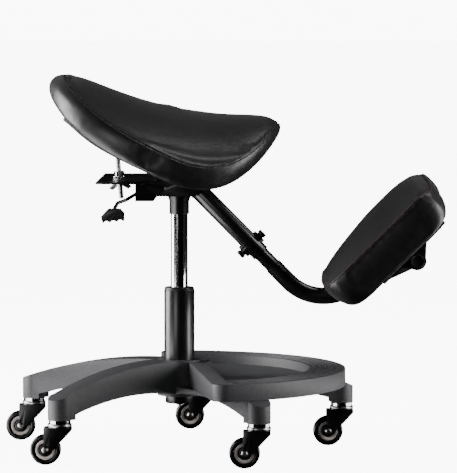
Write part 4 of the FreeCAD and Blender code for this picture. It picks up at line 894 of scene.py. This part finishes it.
class CHAIR_OT_base(bpy.types.Operator):
    """Eases the moulded base and the foot tray, rounds the tray's corners and raises the grip dashes"""
    bl_idname = "chair.base"
    bl_label = "Base and foot tray"

    def execute(self, context):
        shape = context.scene.chair_tray
        eased("star_moulding", "base_star", 2.2, "base", "nylon", "nylon", 4)
        eased("tray_moulding", "foot_tray", 0.6, "base", "nylon", "nylon")
        for side, name in ((-1, "near"), (1, "far")):
            piece("tray_corner_" + name, self.corner(shape, side), "nylon", "base", "nylon")
        piece("tray_dashes", self.dashes(shape), "nylon", "base", "nylon")
        return {"FINISHED"}

    def corner(self, shape, side):
        """The rounded wall where the tray's straight side meets its rim."""
        along = shape.flat + shape.corner
        out = math.sqrt((shape.radius - shape.corner) ** 2 - along ** 2)
        end = math.atan2(out, along)
        inner = shape.corner - TRAY_WALL
        section = ((shape.corner, shape.bottom), (shape.corner, shape.top - MM),
                   (shape.corner - MM, shape.top), (inner, shape.top), (inner, shape.bottom))
        rings = []
        for i in range(CORNER_STEPS + 1):
            angle = math.pi + (end - math.pi) * i / CORNER_STEPS
            ring = []
            for radius, height in section:
                x = along + radius * math.cos(angle)
                y = side * (out + radius * math.sin(angle))
                ring.append(BASE_FRAME @ Vector((x, y, height)))
            rings.append(ring)
        work = grid("tray_corner", rings)
        work.set_sharp_from_angle(angle=EDGE_ANGLE)
        return work

    def dashes(self, shape):
        """Rows of short raised dashes between the rim's treads."""
        points, faces = [], []
        for row in range(DASH_ROWS):
            radius = shape.tread_first + row * shape.tread_pitch + shape.tread_pitch / 2
            start = math.acos((shape.flat + DASH_END) / radius)
            number = int(2 * start * radius / DASH_PITCH)
            for i in range(number):
                angle = -start + 2 * start * (i + 0.5) / number
                centre = Vector((radius * math.cos(angle), radius * math.sin(angle), shape.top))
                along = Vector((-math.sin(angle), math.cos(angle), 0))
                across = Vector((math.cos(angle), math.sin(angle), 0))
                first = len(points)
                for height, wide, long in DASH_LEVELS:
                    for a, b in SQUARE:
                        spot = centre + across * (a * wide * MM) + along * (b * long * MM)
                        points.append(BASE_FRAME @ (spot + Vector((0, 0, height * MM))))
                for low in (first, first + 4):
                    for k in range(4):
                        n = (k + 1) % 4
                        faces.append([low + k, low + n, low + 4 + n, low + 4 + k])
                faces.append([first + 8, first + 9, first + 10, first + 11])
        return mesh_of("tray_dashes", points, faces)


class CHAIR_OT_steelwork(bpy.types.Operator):
    """Eases the edges of the column, mechanism, arm and bracket, and gives every piece its finish"""
    bl_idname = "chair.steelwork"
    bl_label = "Column, mechanism and arm"

    def execute(self, context):
        for node, width, material in EASED_STEEL:
            body = frame["nodes"][node]["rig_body"]
            slot = next(s["material_slot"] for s in frame["record"]["subparts"] if s["node"] == node)
            eased(node + "_dressed", node, width, body, slot, material)
        for entry in frame["record"]["subparts"]:
            node = frame["nodes"][entry["node"]]
            node.data.materials.clear()
            node.data.materials.append(finish(SLOT_FINISH[entry["material_slot"]]))
        return {"FINISHED"}


class CHAIR_OT_stage(bpy.types.Operator):
    """Sets the pale floor, the softboxes and the camera"""
    bl_idname = "chair.stage"
    bl_label = "Stage"

    def execute(self, context):
        scene = context.scene
        corners = [(x * FLOOR_REACH, y * FLOOR_REACH, 0) for x, y in SQUARE]
        floor = bpy.data.objects.new("floor", mesh_of("floor", corners, [(0, 1, 2, 3)], False))
        scene.collection.objects.link(floor)
        material, tree = new_material("Paper sweep, matt")
        grain = add(tree, "ShaderNodeTexNoise", {"Scale": 40.0, "Detail": 2})
        tone = ramp(tree, grain, "Fac", [(0.3, 0.93), (0.7, 0.95)])
        surface(tree, {"Roughness": 1.0, "Specular IOR Level": 0.0, "Emission Color": (1, 1, 1, 1),
                       "Emission Strength": PAPER}, {"Base Color": (tone, "Color")})
        floor.data.materials.append(material)
        floor.visible_glossy = False
        floor.visible_diffuse = False
        world = bpy.data.worlds.new("studio")
        world.use_nodes = True
        world.node_tree.nodes["Background"].inputs["Color"].default_value = (1, 1, 1, 1)
        world.node_tree.nodes["Background"].inputs["Strength"].default_value = BACKDROP
        world.cycles_visibility.glossy = False
        world.cycles_visibility.diffuse = False
        scene.world = world
        for name, place, aim, width, height, power in SOFTBOXES:
            light = bpy.data.lights.new(name, "AREA")
            light.shape = "RECTANGLE"
            light.size = width
            light.size_y = height
            light.energy = power
            lamp = bpy.data.objects.new(name, light)
            lamp.location = place
            lamp.rotation_euler = (Vector(aim) - Vector(place)).to_track_quat("-Z", "Y").to_euler()
            lamp.visible_camera = False
            scene.collection.objects.link(lamp)
        data = bpy.data.cameras.new("camera")
        data.sensor_width = SENSOR
        data.lens = FOCAL_PIXELS * SENSOR / PICTURE_HEIGHT
        data.clip_end = 100
        camera = bpy.data.objects.new("camera", data)
        camera.location = CAMERA_PLACE
        heading = Vector((-math.sin(CAMERA_TURN) * math.cos(CAMERA_PITCH),
                          math.cos(CAMERA_TURN) * math.cos(CAMERA_PITCH), -math.sin(CAMERA_PITCH)))
        camera.rotation_euler = heading.to_track_quat("-Z", "Y").to_euler()
        scene.collection.objects.link(camera)
        scene.camera = camera
        return {"FINISHED"}


class CHAIR_PT_panel(bpy.types.Panel):
    """Lists the chair's pieces and sizes"""
    bl_idname = "CHAIR_PT_panel"
    bl_label = "Kneeling chair"
    bl_space_type = "VIEW_3D"
    bl_region_type = "UI"
    bl_category = "Chair"

    def draw(self, context):
        for operator in OPERATORS:
            self.layout.operator(operator.bl_idname)
        for group in GROUPS:
            settings = getattr(context.scene, group)
            column = self.layout.column()
            for name in settings.bl_rna.properties.keys():
                if name not in ("rna_type", "name"):
                    column.prop(settings, name)


OPERATORS = (CHAIR_OT_stage, CHAIR_OT_saddle, CHAIR_OT_knee_pad, CHAIR_OT_casters, CHAIR_OT_base,
             CHAIR_OT_steelwork)
GROUPS = {"chair_saddle": SaddleShape, "chair_knee": KneeShape, "chair_tray": TrayShape,
          "chair_sewing": Sewing, "chair_finishes": Finishes}


def register():
    for group in GROUPS.values():
        bpy.utils.register_class(group)
    for name, group in GROUPS.items():
        setattr(bpy.types.Scene, name, PointerProperty(type=group))
    for kind in (*OPERATORS, CHAIR_PT_panel):
        bpy.utils.register_class(kind)


def unregister():
    for kind in (CHAIR_PT_panel, *reversed(OPERATORS)):
        bpy.utils.unregister_class(kind)
    for name, group in GROUPS.items():
        delattr(bpy.types.Scene, name)
        bpy.utils.unregister_class(group)


def main():
    register()
    bpy.ops.chair.stage()
    bpy.ops.chair.saddle()
    bpy.ops.chair.knee_pad()
    bpy.ops.chair.casters()
    bpy.ops.chair.base()
    bpy.ops.chair.steelwork()


if __name__ == "__main__":
    main()
